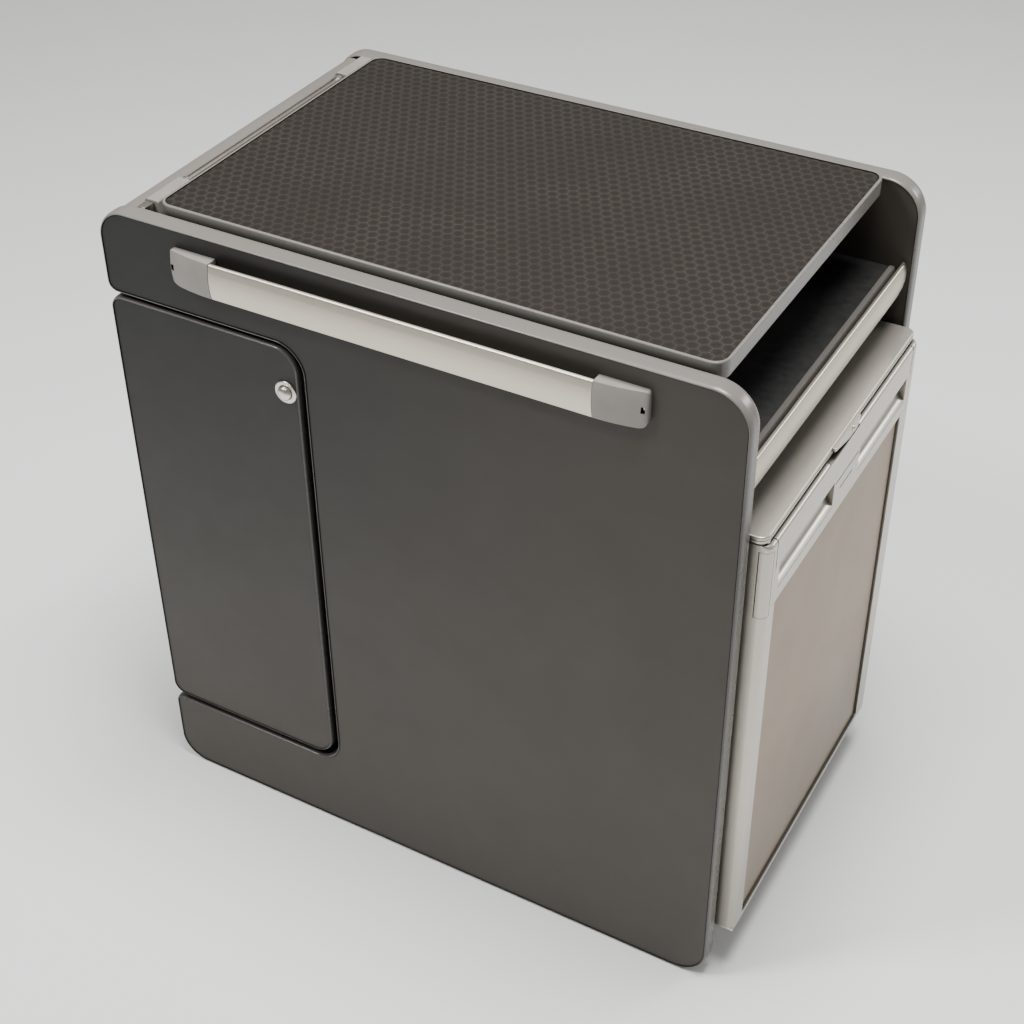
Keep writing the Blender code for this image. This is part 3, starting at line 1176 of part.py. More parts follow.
def fridge_fascia(axis):
    """The moulded insert across the top of the door, with two finger scoops and two slits."""
    near = FASCIA_NEAR + GAP
    far = FASCIA_FAR - GAP
    corners = [
        (FASCIA_BACK, FASCIA_BOTTOM + GAP, 0),
        (DOOR_FRONT, FASCIA_BOTTOM + GAP, 0),
        (DOOR_FRONT, FRIDGE_DOOR_TOP, DOOR_ROLL),
        (FASCIA_BACK, FRIDGE_DOOR_TOP, 0),
    ]
    fascia = add("fridge_fascia", prism(ring(corners), side_view, near, far), "fridge_silver", axis)
    back = DOOR_FRONT - SCOOP_DEPTH
    mouth = DOOR_FRONT + OVERRUN
    scoop = [(mouth, SCOOP_BOTTOM), (mouth, SCOOP_TOP), (DOOR_FRONT, SCOOP_TOP)]
    scoop += [(back, SCOOP_TOP - SCOOP_CEILING_DROP), (back, SCOOP_TOP - SCOOP_BACK_DROP)]
    scoop.append((DOOR_FRONT, SCOOP_BOTTOM))
    scoops = []
    for start in (SCOOP_NEAR, POD_DEPTH - SCOOP_NEAR - SCOOP_LENGTH):
        scoops.append(prism(scoop, side_view, start, start + SCOOP_LENGTH))
    cut([fascia], together(scoops), "finger_scoops")
    slits = []
    for rise, share in ((UPPER_SLIT_RISE, UPPER_SLIT_SHARE), (LOWER_SLIT_RISE, LOWER_SLIT_SHARE)):
        z = SCOOP_BOTTOM + rise
        half = SCOOP_APART * share / 2
        ys = (FRIDGE_MIDDLE - half, FRIDGE_MIDDLE + half)
        slits.append(block((DOOR_FRONT - SLIT_DEPTH, DOOR_FRONT + OVERRUN), ys, (z, z + SLIT_HEIGHT)))
    cut([fascia], together(slits), "fascia_slits")
    pocket_back = DOOR_FRONT - LATCH_POCKET_DEPTH
    xs = (pocket_back, DOOR_FRONT + OVERRUN)
    ys = (LATCH_NEAR - GAP, LATCH_FAR + GAP)
    cut([fascia], block(xs, ys, (LATCH_BOTTOM - LATCH_RELIEF, DOOR_OVER)), "latch_pocket")


def decor(axis, recess_back):
    """The inset decor panel and the dark seal that frames it."""
    corners = rectangle(DECOR_NEAR, DECOR_FAR, DECOR_BOTTOM, FASCIA_BOTTOM, DECOR_RADIUS)
    back = recess_back + GAP
    front = back + DECOR_THICKNESS
    seal_front = front + DECOR_SEAL_RISE
    inner = GAP + DECOR_SEAL_WIDTH
    layers = [(back, GAP), (seal_front, GAP), (seal_front, inner), (back, inner)]
    seal = stack(corners, layers, end_view, closed=True, steps=SMALL_STEPS)
    add("fridge_decor_seal", seal, "dark_rubber", axis)
    panel_inset = inner + GAP
    panel = stack(corners, [(back, panel_inset), (front, panel_inset)], end_view, steps=SMALL_STEPS)
    add("fridge_decor_panel", panel, "decor_panel", axis)


def door_seals(axis):
    """The magnetic seal round the door's back, and the white inner lining."""
    corners = rectangle(FRIDGE_NEAR, FRIDGE_FAR, FRIDGE_DOOR_BOTTOM, FRIDGE_DOOR_TOP, SEAL_RADIUS)
    seal_front = DOOR_BACK - GAP
    seal_back = FRIDGE_FRONT + GAP
    inner = SEAL_INSET + SEAL_WIDTH
    layers = [(seal_back, SEAL_INSET), (seal_front, SEAL_INSET), (seal_front, inner), (seal_back, inner)]
    add("fridge_door_seal", stack(corners, layers, end_view, closed=True, steps=SMALL_STEPS), "seal_grey", axis)
    rim = seal_front - DOOR_LINER_DEPTH
    floor = seal_front - DOOR_LINER_FLOOR
    inside = DOOR_LINER_INSET + DOOR_LINER_RIM
    layers = [(seal_front, DOOR_LINER_INSET), (rim, DOOR_LINER_INSET), (rim, inside), (floor, inside)]
    add("fridge_door_liner", stack(corners, layers, end_view, steps=SMALL_STEPS), "fridge_white", axis)


def fridge_latch(pod):
    """The small pull tab at the top of the fascia, which tips forward to free the door."""
    right = DOOR_FRONT - GAP
    left = right - LATCH_THICKNESS
    axis_place = ((left + right) / 2, (LATCH_NEAR + LATCH_FAR) / 2, LATCH_BOTTOM + LATCH_AXIS_RISE)
    axis = carrier("latch_axis", axis_place, pod)
    corners = [(left, LATCH_BOTTOM, LATCH_EDGE), (right, LATCH_BOTTOM, LATCH_EDGE)]
    corners += [(right, LATCH_TOP, LATCH_EDGE), (left, LATCH_TOP, LATCH_EDGE)]
    tab = prism(ring(corners, steps=SMALL_STEPS), side_view, LATCH_NEAR, LATCH_FAR)
    add("fridge_latch", tab, "fridge_silver", axis)


# Hob, sink and tap


def hob_corners():
    """The hob tray's outer edge in plan."""
    return rectangle(HOB_LEFT, HOB_RIGHT, HOB_NEAR, HOB_FAR, HOB_RADIUS)


def sink_corners():
    """The sink's outer edge in plan."""
    return rectangle(SINK_LEFT, SINK_RIGHT, SINK_NEAR, SINK_FAR, SINK_RADIUS)


def pressed_bowl(corners, floor):
    """A pressed steel bowl whose flange lies on the worktop."""
    under = SHELF_TOP + GAP
    top = under + STEEL
    inner = FLANGE + STEEL
    outer = FLANGE
    layers = [
        (floor, inner + BOWL_TAPER),
        (top, inner),
        (top, 0),
        (under, 0),
        (under, outer),
        (floor - STEEL, outer + BOWL_TAPER),
    ]
    return stack(corners, layers, plan_view)


def hob(pod):
    """The tray, its burner, the pan support over it and the gas knob."""
    add("hob_tray", pressed_bowl(hob_corners(), HOB_FLOOR), "stainless", pod)
    seat = HOB_FLOOR + GAP
    centre = (HOB_MIDDLE, HOB_NEAR + (HOB_FAR - HOB_NEAR) * BURNER_Y_SHARE)
    profile = [(BURNER_FOOT_RADIUS, seat), (BURNER_FOOT_RADIUS, seat + BURNER_FOOT)]
    profile += [(BURNER_HEAD_RADIUS, seat + BURNER_FOOT), (BURNER_HEAD_RADIUS, seat + BURNER_HEAD)]
    profile.append((BURNER_CAP_RADIUS, seat + BURNER_CAP))
    add("hob_burner", lathe(profile, centre, plan_view), "cast_iron", pod)
    support = add("pan_support", pan_support(centre, seat), "cast_iron", pod)
    for index, bar in enumerate(pan_support_bars(centre, seat)):
        fuse(support, bar, "pan_support_bar_%d" % index)
    knob("hob_knob", (HOB_MIDDLE, KNOB_Y), seat, pod)


def pan_support(centre, seat):
    """The square bar frame that pans stand on."""
    half = SUPPORT_SIZE / 2
    corners = rectangle(centre[0] - half, centre[0] + half, centre[1] - half, centre[1] + half, SUPPORT_RADIUS)
    top = seat + SUPPORT_HEIGHT
    low = top - SUPPORT_BAR
    layers = [(low, 0), (top, 0), (top, SUPPORT_BAR), (low, SUPPORT_BAR)]
    return stack(corners, layers, plan_view, closed=True, steps=SMALL_STEPS)


def pan_support_bars(centre, seat):
    """Four fingers towards the burner, each on a leg down to the tray."""
    bars = []
    half = SUPPORT_SIZE / 2
    thick = SUPPORT_BAR / 2
    top = seat + SUPPORT_HEIGHT
    for way_x, way_y in ((1, 0), (-1, 0), (0, 1), (0, -1)):
        near = half - thick - SUPPORT_FINGER
        leg = half - thick - SUPPORT_BAR
        far = half - thick
        spans = []
        for start, low in ((near, top - SUPPORT_BAR), (leg, seat)):
            xs = sorted((centre[0] + way_x * start, centre[0] + way_x * far))
            ys = sorted((centre[1] + way_y * start, centre[1] + way_y * far))
            if way_x:
                ys = (centre[1] - thick, centre[1] + thick)
            else:
                xs = (centre[0] - thick, centre[0] + thick)
            spans.append(block(xs, ys, (low, top)))
        bars += spans
    return bars


def knob(name, centre, seat, pod):
    """A round knob with a flat grip across it."""
    axis = carrier(name + "_axis", (centre[0], centre[1], seat), pod)
    rings = []
    for height, share in ((0, 1), (KNOB_BASE, 1), (KNOB_BASE, KNOB_GRIP_SHARE), (KNOB_HEIGHT, KNOB_GRIP_SHARE)):
        circle = []
        for step in range(ROUND_STEPS):
            angle = 2 * math.pi * (step + 0.5) / ROUND_STEPS
            x = centre[0] + KNOB_RADIUS * share * math.cos(angle)
            circle.append((x, centre[1] + KNOB_RADIUS * math.sin(angle), seat + height))
        rings.append(circle)
    add(name, skin(rings), "black_plastic", axis)


def sink(pod):
    """The bowl, the waste through its floor, and the tap beside it."""
    bowl = add("sink_bowl", pressed_bowl(sink_corners(), SINK_FLOOR), "stainless", pod)
    centre = (SINK_MIDDLE, (SINK_NEAR + SINK_FAR) / 2)
    hole = rod(WASTE_STEM + GAP, SINK_FLOOR - OVERRUN, SINK_FLOOR + OVERRUN, centre, plan_view)
    cut([bowl], hole, "waste_hole")
    seat = SINK_FLOOR + GAP
    under = SINK_FLOOR - STEEL - GAP
    nut = under - WASTE_NUT_HEIGHT
    profile = [(WASTE_BORE, WASTE_END), (WASTE_BORE, seat + WASTE_FLANGE_THICKNESS)]
    profile += [(WASTE_FLANGE, seat + WASTE_FLANGE_THICKNESS), (WASTE_FLANGE, seat), (WASTE_STEM, seat)]
    profile += [(WASTE_STEM, under), (WASTE_NUT, under), (WASTE_NUT, nut)]
    profile += [(WASTE_TAIL, nut), (WASTE_TAIL, WASTE_END)]
    add("sink_waste", lathe(profile, centre, plan_view, closed=True), "stainless", pod)


def tap(pod):
    """The tap's base on the worktop and the spout that swivels in it."""
    centre = (SINK_MIDDLE, TAP_Y)
    seat = SHELF_TOP + GAP
    top = seat + TAP_BASE_HEIGHT
    bore = TAP_STEM_RADIUS + GAP
    socket = top - TAP_STEM_DEPTH - GAP
    profile = [(TAP_BASE_RADIUS, seat), (TAP_BASE_RADIUS, top), (bore, top), (bore, socket)]
    add("tap_base", lathe(profile, centre, plan_view), "nickel", pod)
    axis = carrier("tap_axis", (centre[0], centre[1], top), pod)
    stem_end = top - TAP_STEM_DEPTH
    neck = top + GAP
    arm_bottom = top + TAP_NECK
    arm_top = arm_bottom + TAP_ARM_HEIGHT
    profile = [(TAP_STEM_RADIUS, stem_end), (TAP_STEM_RADIUS, neck), (TAP_NECK, neck), (TAP_NECK, arm_top)]
    spout = add("tap_spout", lathe(profile, centre, plan_view), "nickel", axis)
    tip = TAP_Y - TAP_ARM_LENGTH
    xs = (centre[0] - TAP_ARM_WIDTH / 2, centre[0] + TAP_ARM_WIDTH / 2)
    fuse(spout, block(xs, (tip, TAP_Y), (arm_bottom, arm_top - GAP)), "tap_arm")
    nozzle = (centre[0], tip + TAP_NOZZLE + GAP)
    low = arm_bottom - TAP_NOZZLE_LENGTH
    nozzle_radius = min(TAP_NOZZLE, TAP_ARM_WIDTH / 2) - GAP
    nozzle_bar = rod(nozzle_radius, low, arm_bottom + GAP, nozzle, plan_view, steps=ROUND_STEPS // 2)
    fuse(spout, nozzle_bar, "tap_nozzle")


def build():
    """The whole pod."""
    clear_scene()
    centre_x = DOOR_FRONT / 2
    centre_y = (POD_DEPTH - RAIL_REACH) / 2
    pod = carrier("pod", (-centre_x, -centre_y, 0))
    side_panels(pod)
    end_board(pod)
    base(pod)
    divider(pod)
    cupboard_shelf(pod)
    worktop_shelf(pod)
    rails(pod)
    rail_cap("rail_cap_left", TABLE_RAIL_LEFT, -1, pod)
    rail_cap("rail_cap_right", TABLE_RAIL_RIGHT, 1, pod)
    lid_hinge_fixed(pod)
    lid(pod)
    corner_brackets(pod)
    cupboard_door(pod)
    lock_strike(pod)
    fridge_body(pod)
    fridge_top_plate(pod)
    fridge_inside(pod)
    fridge_hinge_bracket(pod)
    fridge_door(pod)
    hob(pod)
    sink(pod)
    tap(pod)


build()
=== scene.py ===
# %% [markdown]
# A campervan kitchen pod: two dark side panels edged in grey plastic, a patterned lid that hides a hob and a
# sink, a cupboard door with a push lock and a small fridge at the end. The solids of the model come first,
# as a fixed frame. Each later cell then gives one of them its fine surface or its finish.

# %% Load the frame
import json
import math

import bmesh
import bpy
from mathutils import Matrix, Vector


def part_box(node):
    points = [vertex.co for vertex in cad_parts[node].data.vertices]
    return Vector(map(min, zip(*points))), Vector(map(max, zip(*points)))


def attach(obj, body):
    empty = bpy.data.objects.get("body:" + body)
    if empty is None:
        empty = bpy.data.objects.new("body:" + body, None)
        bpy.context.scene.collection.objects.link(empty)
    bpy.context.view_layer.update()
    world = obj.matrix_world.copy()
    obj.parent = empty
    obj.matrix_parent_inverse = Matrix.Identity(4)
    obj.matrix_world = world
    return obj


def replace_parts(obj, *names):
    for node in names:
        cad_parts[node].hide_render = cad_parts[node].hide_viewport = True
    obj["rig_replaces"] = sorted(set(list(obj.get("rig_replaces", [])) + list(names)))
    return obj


MM = 0.001
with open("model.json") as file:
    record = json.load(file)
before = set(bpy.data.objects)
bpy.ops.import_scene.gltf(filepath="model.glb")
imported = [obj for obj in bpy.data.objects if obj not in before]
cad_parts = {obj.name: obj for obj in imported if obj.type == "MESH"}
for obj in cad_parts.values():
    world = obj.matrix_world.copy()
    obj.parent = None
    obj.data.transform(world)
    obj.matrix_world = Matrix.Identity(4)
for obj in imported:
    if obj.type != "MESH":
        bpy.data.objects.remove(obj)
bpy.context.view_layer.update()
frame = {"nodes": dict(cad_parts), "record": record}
nodes = frame["nodes"]
print("solids in the frame:", len(nodes))

# %% [markdown]
# Everything below is drawn in the pod's own corner frame: X from the lid hinge, Y from the near panel's face
# and Z up from the floor. The near panel's trim starts in that corner, so its lowest corner says where the
# corner frame lies, and one shift puts a finished piece in its place.

# %% The pod's corner, and the driving sizes
CORNER = Vector(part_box("near_side_trim")[0])
PANEL_LENGTH = 675 * MM
PANEL_HEIGHT = 730 * MM
BOARD = 18 * MM
TRIM_WIDTH = 20 * MM
GAP = 0.3 * MM
OVERRUN = 6 * MM
print("pod corner in the frame:", [round(value / MM, 1) for value in CORNER], "mm")

# %% [markdown]
# The camera stands where the photographer stood. Its place, its turn and its focal length were found from
# the straight edges of the pod. The photograph was cropped a little off its middle, and a small vertical
# shift of the lens brings the same framing.

# %% Camera
CAMERA_PLACE = Vector((1084.7, -1106.9, 1532.8)) * MM
CAMERA_TILT = math.radians(53.24)
CAMERA_ROLL = math.radians(0.485)
CAMERA_TURN = math.radians(29.40)
SENSOR_WIDTH = 36
FOCAL_LENGTH = 62.6
LENS_SHIFT = -0.041


def add_object(name, data):
    """A new object with that data, linked to the scene."""
    made = bpy.data.objects.new(name, data)
    bpy.context.scene.collection.objects.link(made)
    return made


def stand_camera():
    """The camera at the photograph's place and angle."""
    data = bpy.data.cameras.new("photo_camera")
    data.sensor_width = SENSOR_WIDTH
    data.lens = FOCAL_LENGTH
    data.shift_y = LENS_SHIFT
    camera = add_object("photo_camera", data)
    camera.location = CAMERA_PLACE + CORNER
    camera.rotation_euler = (CAMERA_TILT, CAMERA_ROLL, CAMERA_TURN)
    bpy.context.scene.camera = camera
    return camera


stand_camera()

# %% [markdown]
# Colours are written as the hex values that a screen shows. Shaders work in linear light, so one function
# turns each value from sRGB to linear. A second small function adds a shader node with its settings and
# links, and everything that follows is built with these two. No real surface is even, so tone and gloss
# wander in patches of a given size: a noise, of which the middle part is stretched to the wanted range.

# %% Helpers for materials
NOISE_LOW = 0.3
NOISE_HIGH = 0.7
PATCH_DETAIL = 3
FINE_DETAIL = 2
# A Mix node has inputs and outputs for every kind of value; these are the places of two kinds
COLOUR_A = 6
COLOUR_B = 7
COLOUR_RESULT = 2
VECTOR_A = 4
VECTOR_B = 5
VECTOR_RESULT = 1


def hex_colour(code):
    """A hex colour as linear red, green, blue and alpha."""
    channels = []
    # The sRGB curve is straight near black and a power above
    for start in (1, 3, 5):
        value = int(code[start : start + 2], 16) / 255
        channels.append(value / 12.92 if value <= 0.04045 else ((value + 0.055) / 1.055) ** 2.4)
    return (*channels, 1)


def add_node(tree, kind, feeds=None, **settings):
    """Add one node: settings are its own properties, feeds say what goes into each of its inputs."""
    made = tree.nodes.new(kind)
    for key, value in settings.items():
        setattr(made, key, value)
    for key, value in (feeds or {}).items():
        if isinstance(value, bpy.types.NodeSocket):
            tree.links.new(value, made.inputs[key])
        else:
            made.inputs[key].default_value = value
    return made


def start_material(name, **shader_values):
    """A material with one Principled shader; each value is set on the shader's own socket."""
    material = bpy.data.materials.new(name)
    material.use_nodes = True
    tree = material.node_tree
    shader = tree.nodes["Principled BSDF"]
    for key, value in shader_values.items():
        shader.inputs[key.replace("_", " ")].default_value = value
    return material, tree, shader


def object_place(tree, stretch=(1, 1, 1)):
    """Object coordinates in metres, stretched along the axes where a finish has a direction."""
    place = add_node(tree, "ShaderNodeTexCoord").outputs["Object"]
    return add_node(tree, "ShaderNodeMapping", {"Vector": place, "Scale": stretch}).outputs["Vector"]


def wandering(tree, place, size, low, high):
    """A value that wanders from low to high, in patches of about that size in metres."""
    feeds = {"Vector": place, "Scale": 1 / size, "Detail": PATCH_DETAIL}
    noise = add_node(tree, "ShaderNodeTexNoise", feeds).outputs["Fac"]
    feeds = {"Value": noise, "From Min": NOISE_LOW, "From Max": NOISE_HIGH, "To Min": low, "To Max": high}
    return add_node(tree, "ShaderNodeMapRange", feeds).outputs["Result"]


def two_tones(tree, place, size, dark, light):
    """A colour that wanders between two hex colours, in patches of about that size."""
    share = wandering(tree, place, size, 0, 1)
    feeds = {"Factor": share, COLOUR_A: hex_colour(dark), COLOUR_B: hex_colour(light)}
    return add_node(tree, "ShaderNodeMix", feeds, data_type="RGBA").outputs[COLOUR_RESULT]


def fine_relief(tree, shader, place, size, depth):
    """A fine grain of that size, raised by that depth."""
    feeds = {"Vector": place, "Scale": 1 / size, "Detail": FINE_DETAIL}
    noise = add_node(tree, "ShaderNodeTexNoise", feeds).outputs["Fac"]
    bump = add_node(tree, "ShaderNodeBump", {"Height": noise, "Distance": depth, "Strength": 1.0})
    tree.links.new(bump.outputs["Normal"], shader.inputs["Normal"])


# %% [markdown]
# Two kinds of painted shade change a colour from place to place. An ambient occlusion node tells how open the
# surroundings are within a few millimetres, and closed places are painted dark, as the shade in narrow gaps.
# And surfaces near the floor are painted darker, as the shade of seeing less of the light: a slow change of
# colour with height.

# %% Painted shade in gaps, and towards the floor
GAP_SHADE_REACH = 10 * MM
GAP_SHADE_COLOUR = "#1A1918"
GAP_SHADE_RAYS = 32
GAP_SHADE_CLOSED = 0.3
GAP_SHADE_OPEN = 0.8


def painted_gap_shade(tree, colour):
    """The colour, painted dark in narrow gaps as shade."""
    feeds = {"Distance": GAP_SHADE_REACH}
    openness = add_node(tree, "ShaderNodeAmbientOcclusion", feeds, samples=GAP_SHADE_RAYS).outputs["AO"]
    feeds = {"Value": openness, "From Min": GAP_SHADE_CLOSED, "From Max": GAP_SHADE_OPEN}
    unshaded_share = add_node(tree, "ShaderNodeMapRange", feeds).outputs["Result"]
    feeds = {"Factor": unshaded_share, COLOUR_A: hex_colour(GAP_SHADE_COLOUR), COLOUR_B: colour}
    return add_node(tree, "ShaderNodeMix", feeds, data_type="RGBA").outputs[COLOUR_RESULT]


def painted_shade_below(tree, colour, low_colour, low, high):
    """The low colour up to the low height, and the given colour from the high one on: painted shade towards
    the floor.
    """
    place = add_node(tree, "ShaderNodeTexCoord").outputs["Object"]
    height = add_node(tree, "ShaderNodeSeparateXYZ", {"Vector": place}).outputs["Z"]
    feeds = {"Value": height, "From Min": low, "From Max": high}
    rise = add_node(tree, "ShaderNodeMapRange", feeds, interpolation_type="SMOOTHSTEP").outputs["Result"]
    feeds = {"Factor": rise, COLOUR_A: hex_colour(low_colour), COLOUR_B: colour}
    return add_node(tree, "ShaderNodeMix", feeds, data_type="RGBA").outputs[COLOUR_RESULT]


# %% [markdown]
# Two kinds of surface make up most of the pod: a moulded or coated one, and metal that was drawn or brushed.

# %% Two kinds of surface
GLOSS_PATCH_SHARE = 1 / 4


def plain_finish(
    name,
    dark,
    light,
    roughness,
    patch=40 * MM,
    texture=0.8 * MM,
    relief=0.01 * MM,
    below=None,
    gap_shade=False,
    **values,
):
    """A moulded or coated surface: faint patches of tone, uneven gloss and a fine texture."""
    material, tree, shader = start_material(name, **values)
    place = object_place(tree)
    colour = two_tones(tree, place, patch, dark, light)
    # Painted shade towards the floor
    if below:
        colour = painted_shade_below(tree, colour, *below)
    # Painted shade in narrow gaps
    if gap_shade:
        colour = painted_gap_shade(tree, colour)
    tree.links.new(colour, shader.inputs["Base Color"])
    gloss = wandering(tree, place, patch * GLOSS_PATCH_SHARE, *roughness)
    tree.links.new(gloss, shader.inputs["Roughness"])
    fine_relief(tree, shader, place, texture, relief)
    return material


def drawn_metal(name, dark, light, roughness, along, streak=0.35 * MM, length=60 * MM, relief=0.004 * MM):
    """Metal with fine lines left by drawing or brushing, which run along one axis."""
    material, tree, shader = start_material(name, Metallic=1.0)
    stretch = [1 if axis != along else streak / length for axis in range(3)]
    feeds = {"Vector": object_place(tree, stretch), "Scale": 1 / streak, "Detail": FINE_DETAIL}
    lines = add_node(tree, "ShaderNodeTexNoise", feeds).outputs["Fac"]
    feeds = {"Value": lines, "From Min": NOISE_LOW, "From Max": NOISE_HIGH}
    tone = add_node(tree, "ShaderNodeMapRange", feeds).outputs["Result"]
    mix_feeds = {"Factor": tone, COLOUR_A: hex_colour(dark), COLOUR_B: hex_colour(light)}
    colour = add_node(tree, "ShaderNodeMix", mix_feeds, data_type="RGBA").outputs[COLOUR_RESULT]
    tree.links.new(colour, shader.inputs["Base Color"])
    feeds.update({"To Min": roughness[0], "To Max": roughness[1]})
    gloss = add_node(tree, "ShaderNodeMapRange", feeds).outputs["Result"]
    tree.links.new(gloss, shader.inputs["Roughness"])
    bump = add_node(tree, "ShaderNodeBump", {"Height": lines, "Distance": relief, "Strength": 1.0})
    tree.links.new(bump.outputs["Normal"], shader.inputs["Normal"])
    return material


# %% [markdown]
# The side panels and the door are faced with high-pressure laminate, a paper and resin sheet with a fine
# pearl texture pressed into it. It is nearly black, scatters light softly and shows slow changes of tone.
# Towards the upper corner at its hinge end it is painted darker still, as shade.

# %% Panel laminate
PAINTED_SHADE_CORNER = (-330 * MM, 0, 700 * MM)
PAINTED_SHADE_REACH = 620 * MM
PANEL_TONE_PATCH = 90 * MM
PANEL_GLOSS_PATCH = 22 * MM
PANEL_GLOSS = (0.42, 0.48)
PEARL = 0.7 * MM
PEARL_RELIEF = 0.01 * MM


def make_panel_laminate():
    """Nearly black laminate with painted shade: darkest at its hinge end and slowly lighter towards its lower
    middle.
    """
    material, tree, shader = start_material("panel_laminate_fine_pearl", Specular_IOR_Level=0.3)
    place = object_place(tree)
    unshaded = two_tones(tree, place, PANEL_TONE_PATCH, "#3A3631", "#3E3A34")
    # Painted shade: the colour falls to near black towards the upper corner at the hinge end
    feeds = {0: object_place(tree, (1, 0, 1)), 1: PAINTED_SHADE_CORNER}
    way = add_node(tree, "ShaderNodeVectorMath", feeds, operation="DISTANCE").outputs["Value"]
    feeds = {"Value": way, "From Min": 0, "From Max": PAINTED_SHADE_REACH}
    shade_fade = add_node(tree, "ShaderNodeMapRange", feeds, interpolation_type="SMOOTHSTEP").outputs["Result"]
    feeds = {"Factor": shade_fade, COLOUR_A: hex_colour("#1D1D1C"), COLOUR_B: unshaded}
    colour = add_node(tree, "ShaderNodeMix", feeds, data_type="RGBA").outputs[COLOUR_RESULT]
    tree.links.new(colour, shader.inputs["Base Color"])
    gloss = wandering(tree, place, PANEL_GLOSS_PATCH, *PANEL_GLOSS)
    tree.links.new(gloss, shader.inputs["Roughness"])
    fine_relief(tree, shader, place, PEARL, PEARL_RELIEF)
    return material


panel_laminate = make_panel_laminate()

# %% [markdown]
# The lid's laminate carries a printed honeycomb: cells of 11.3 mm with a light outline and a fainter ring
# inside. Two grids of centres, shifted by half a cell, each give the way to their nearest centre, and the
# shorter of the two ways belongs to this point's own cell. How far that way goes towards the cell's flat
# sides is the hexagonal distance, which draws both lines.

# %% Lid laminate
CELL = 11.3 * MM
CELL_ROWS = math.sqrt(3)
LINE_SHARE = 0.04
OUTLINE_PLACE = 0.5
RING_PLACE = 0.36
RING_SHARE = 0.035
RING_STRENGTH = 0.35
PRINT_PATCH = 70 * MM
PRINT_WEAKEST = 0.55
LID_TONE_PATCH = 5 * MM
GROUND_ROUGHNESS = 0.5
LINE_ROUGHNESS = 0.38
LID_RELIEF = 0.02 * MM
LINE_RELIEF_SHARE = 0.5


def to_nearest(tree, grid, shift):
    """The way from the nearest centre of one grid, in cells."""
    moved = add_node(tree, "ShaderNodeVectorMath", {0: grid, 1: (shift, shift, 0)}, operation="ADD")
    part = add_node(tree, "ShaderNodeVectorMath", {0: moved.outputs[0]}, operation="FRACTION")
    feeds = {0: part.outputs[0], 1: (0.5, 0.5, 0)}
    centred = add_node(tree, "ShaderNodeVectorMath", feeds, operation="SUBTRACT")
    feeds = {0: centred.outputs[0], 1: (1, CELL_ROWS, 0)}
    return add_node(tree, "ShaderNodeVectorMath", feeds, operation="MULTIPLY").outputs[0]


def cell_distance(tree):
    """The hexagonal distance from the middle of this point's cell: 0 there, 0.5 on its outline."""
    place = add_node(tree, "ShaderNodeTexCoord").outputs["Object"]
    feeds = {0: place, 1: (1 / CELL, 1 / (CELL * CELL_ROWS), 0)}
    grid = add_node(tree, "ShaderNodeVectorMath", feeds, operation="MULTIPLY").outputs[0]
    ways = [to_nearest(tree, grid, shift) for shift in (0.5, 0)]
    lengths = []
    for way in ways:
        length = add_node(tree, "ShaderNodeVectorMath", {0: way}, operation="LENGTH")
        lengths.append(length.outputs["Value"])
    feeds = {0: lengths[1], 1: lengths[0]}
    second_wins = add_node(tree, "ShaderNodeMath", feeds, operation="LESS_THAN").outputs[0]
    feeds = {"Factor": second_wins, VECTOR_A: ways[0], VECTOR_B: ways[1]}
    own = add_node(tree, "ShaderNodeMix", feeds, data_type="VECTOR").outputs[VECTOR_RESULT]
    size = add_node(tree, "ShaderNodeVectorMath", {0: own}, operation="ABSOLUTE").outputs[0]
    parts = add_node(tree, "ShaderNodeSeparateXYZ", {"Vector": size})
    feeds = {0: parts.outputs["Y"], 1: CELL_ROWS / 2}
    slant = add_node(tree, "ShaderNodeMath", feeds, operation="MULTIPLY").outputs[0]
    feeds = {0: parts.outputs["X"], 1: 0.5, 2: slant}
    slanted = add_node(tree, "ShaderNodeMath", feeds, operation="MULTIPLY_ADD").outputs[0]
    feeds = {0: parts.outputs["X"], 1: slanted}
    return add_node(tree, "ShaderNodeMath", feeds, operation="MAXIMUM").outputs[0]


def line_at(tree, distance, place, half_width):
    """1 on a line at that distance, falling to 0 at its half width."""
    way = add_node(tree, "ShaderNodeMath", {0: distance, 1: place}, operation="SUBTRACT").outputs[0]
    away = add_node(tree, "ShaderNodeMath", {0: way}, operation="ABSOLUTE").outputs[0]
    feeds = {"Value": away, "From Min": 0, "From Max": half_width, "To Min": 1, "To Max": 0}
    return add_node(tree, "ShaderNodeMapRange", feeds, interpolation_type="SMOOTHSTEP").outputs["Result"]


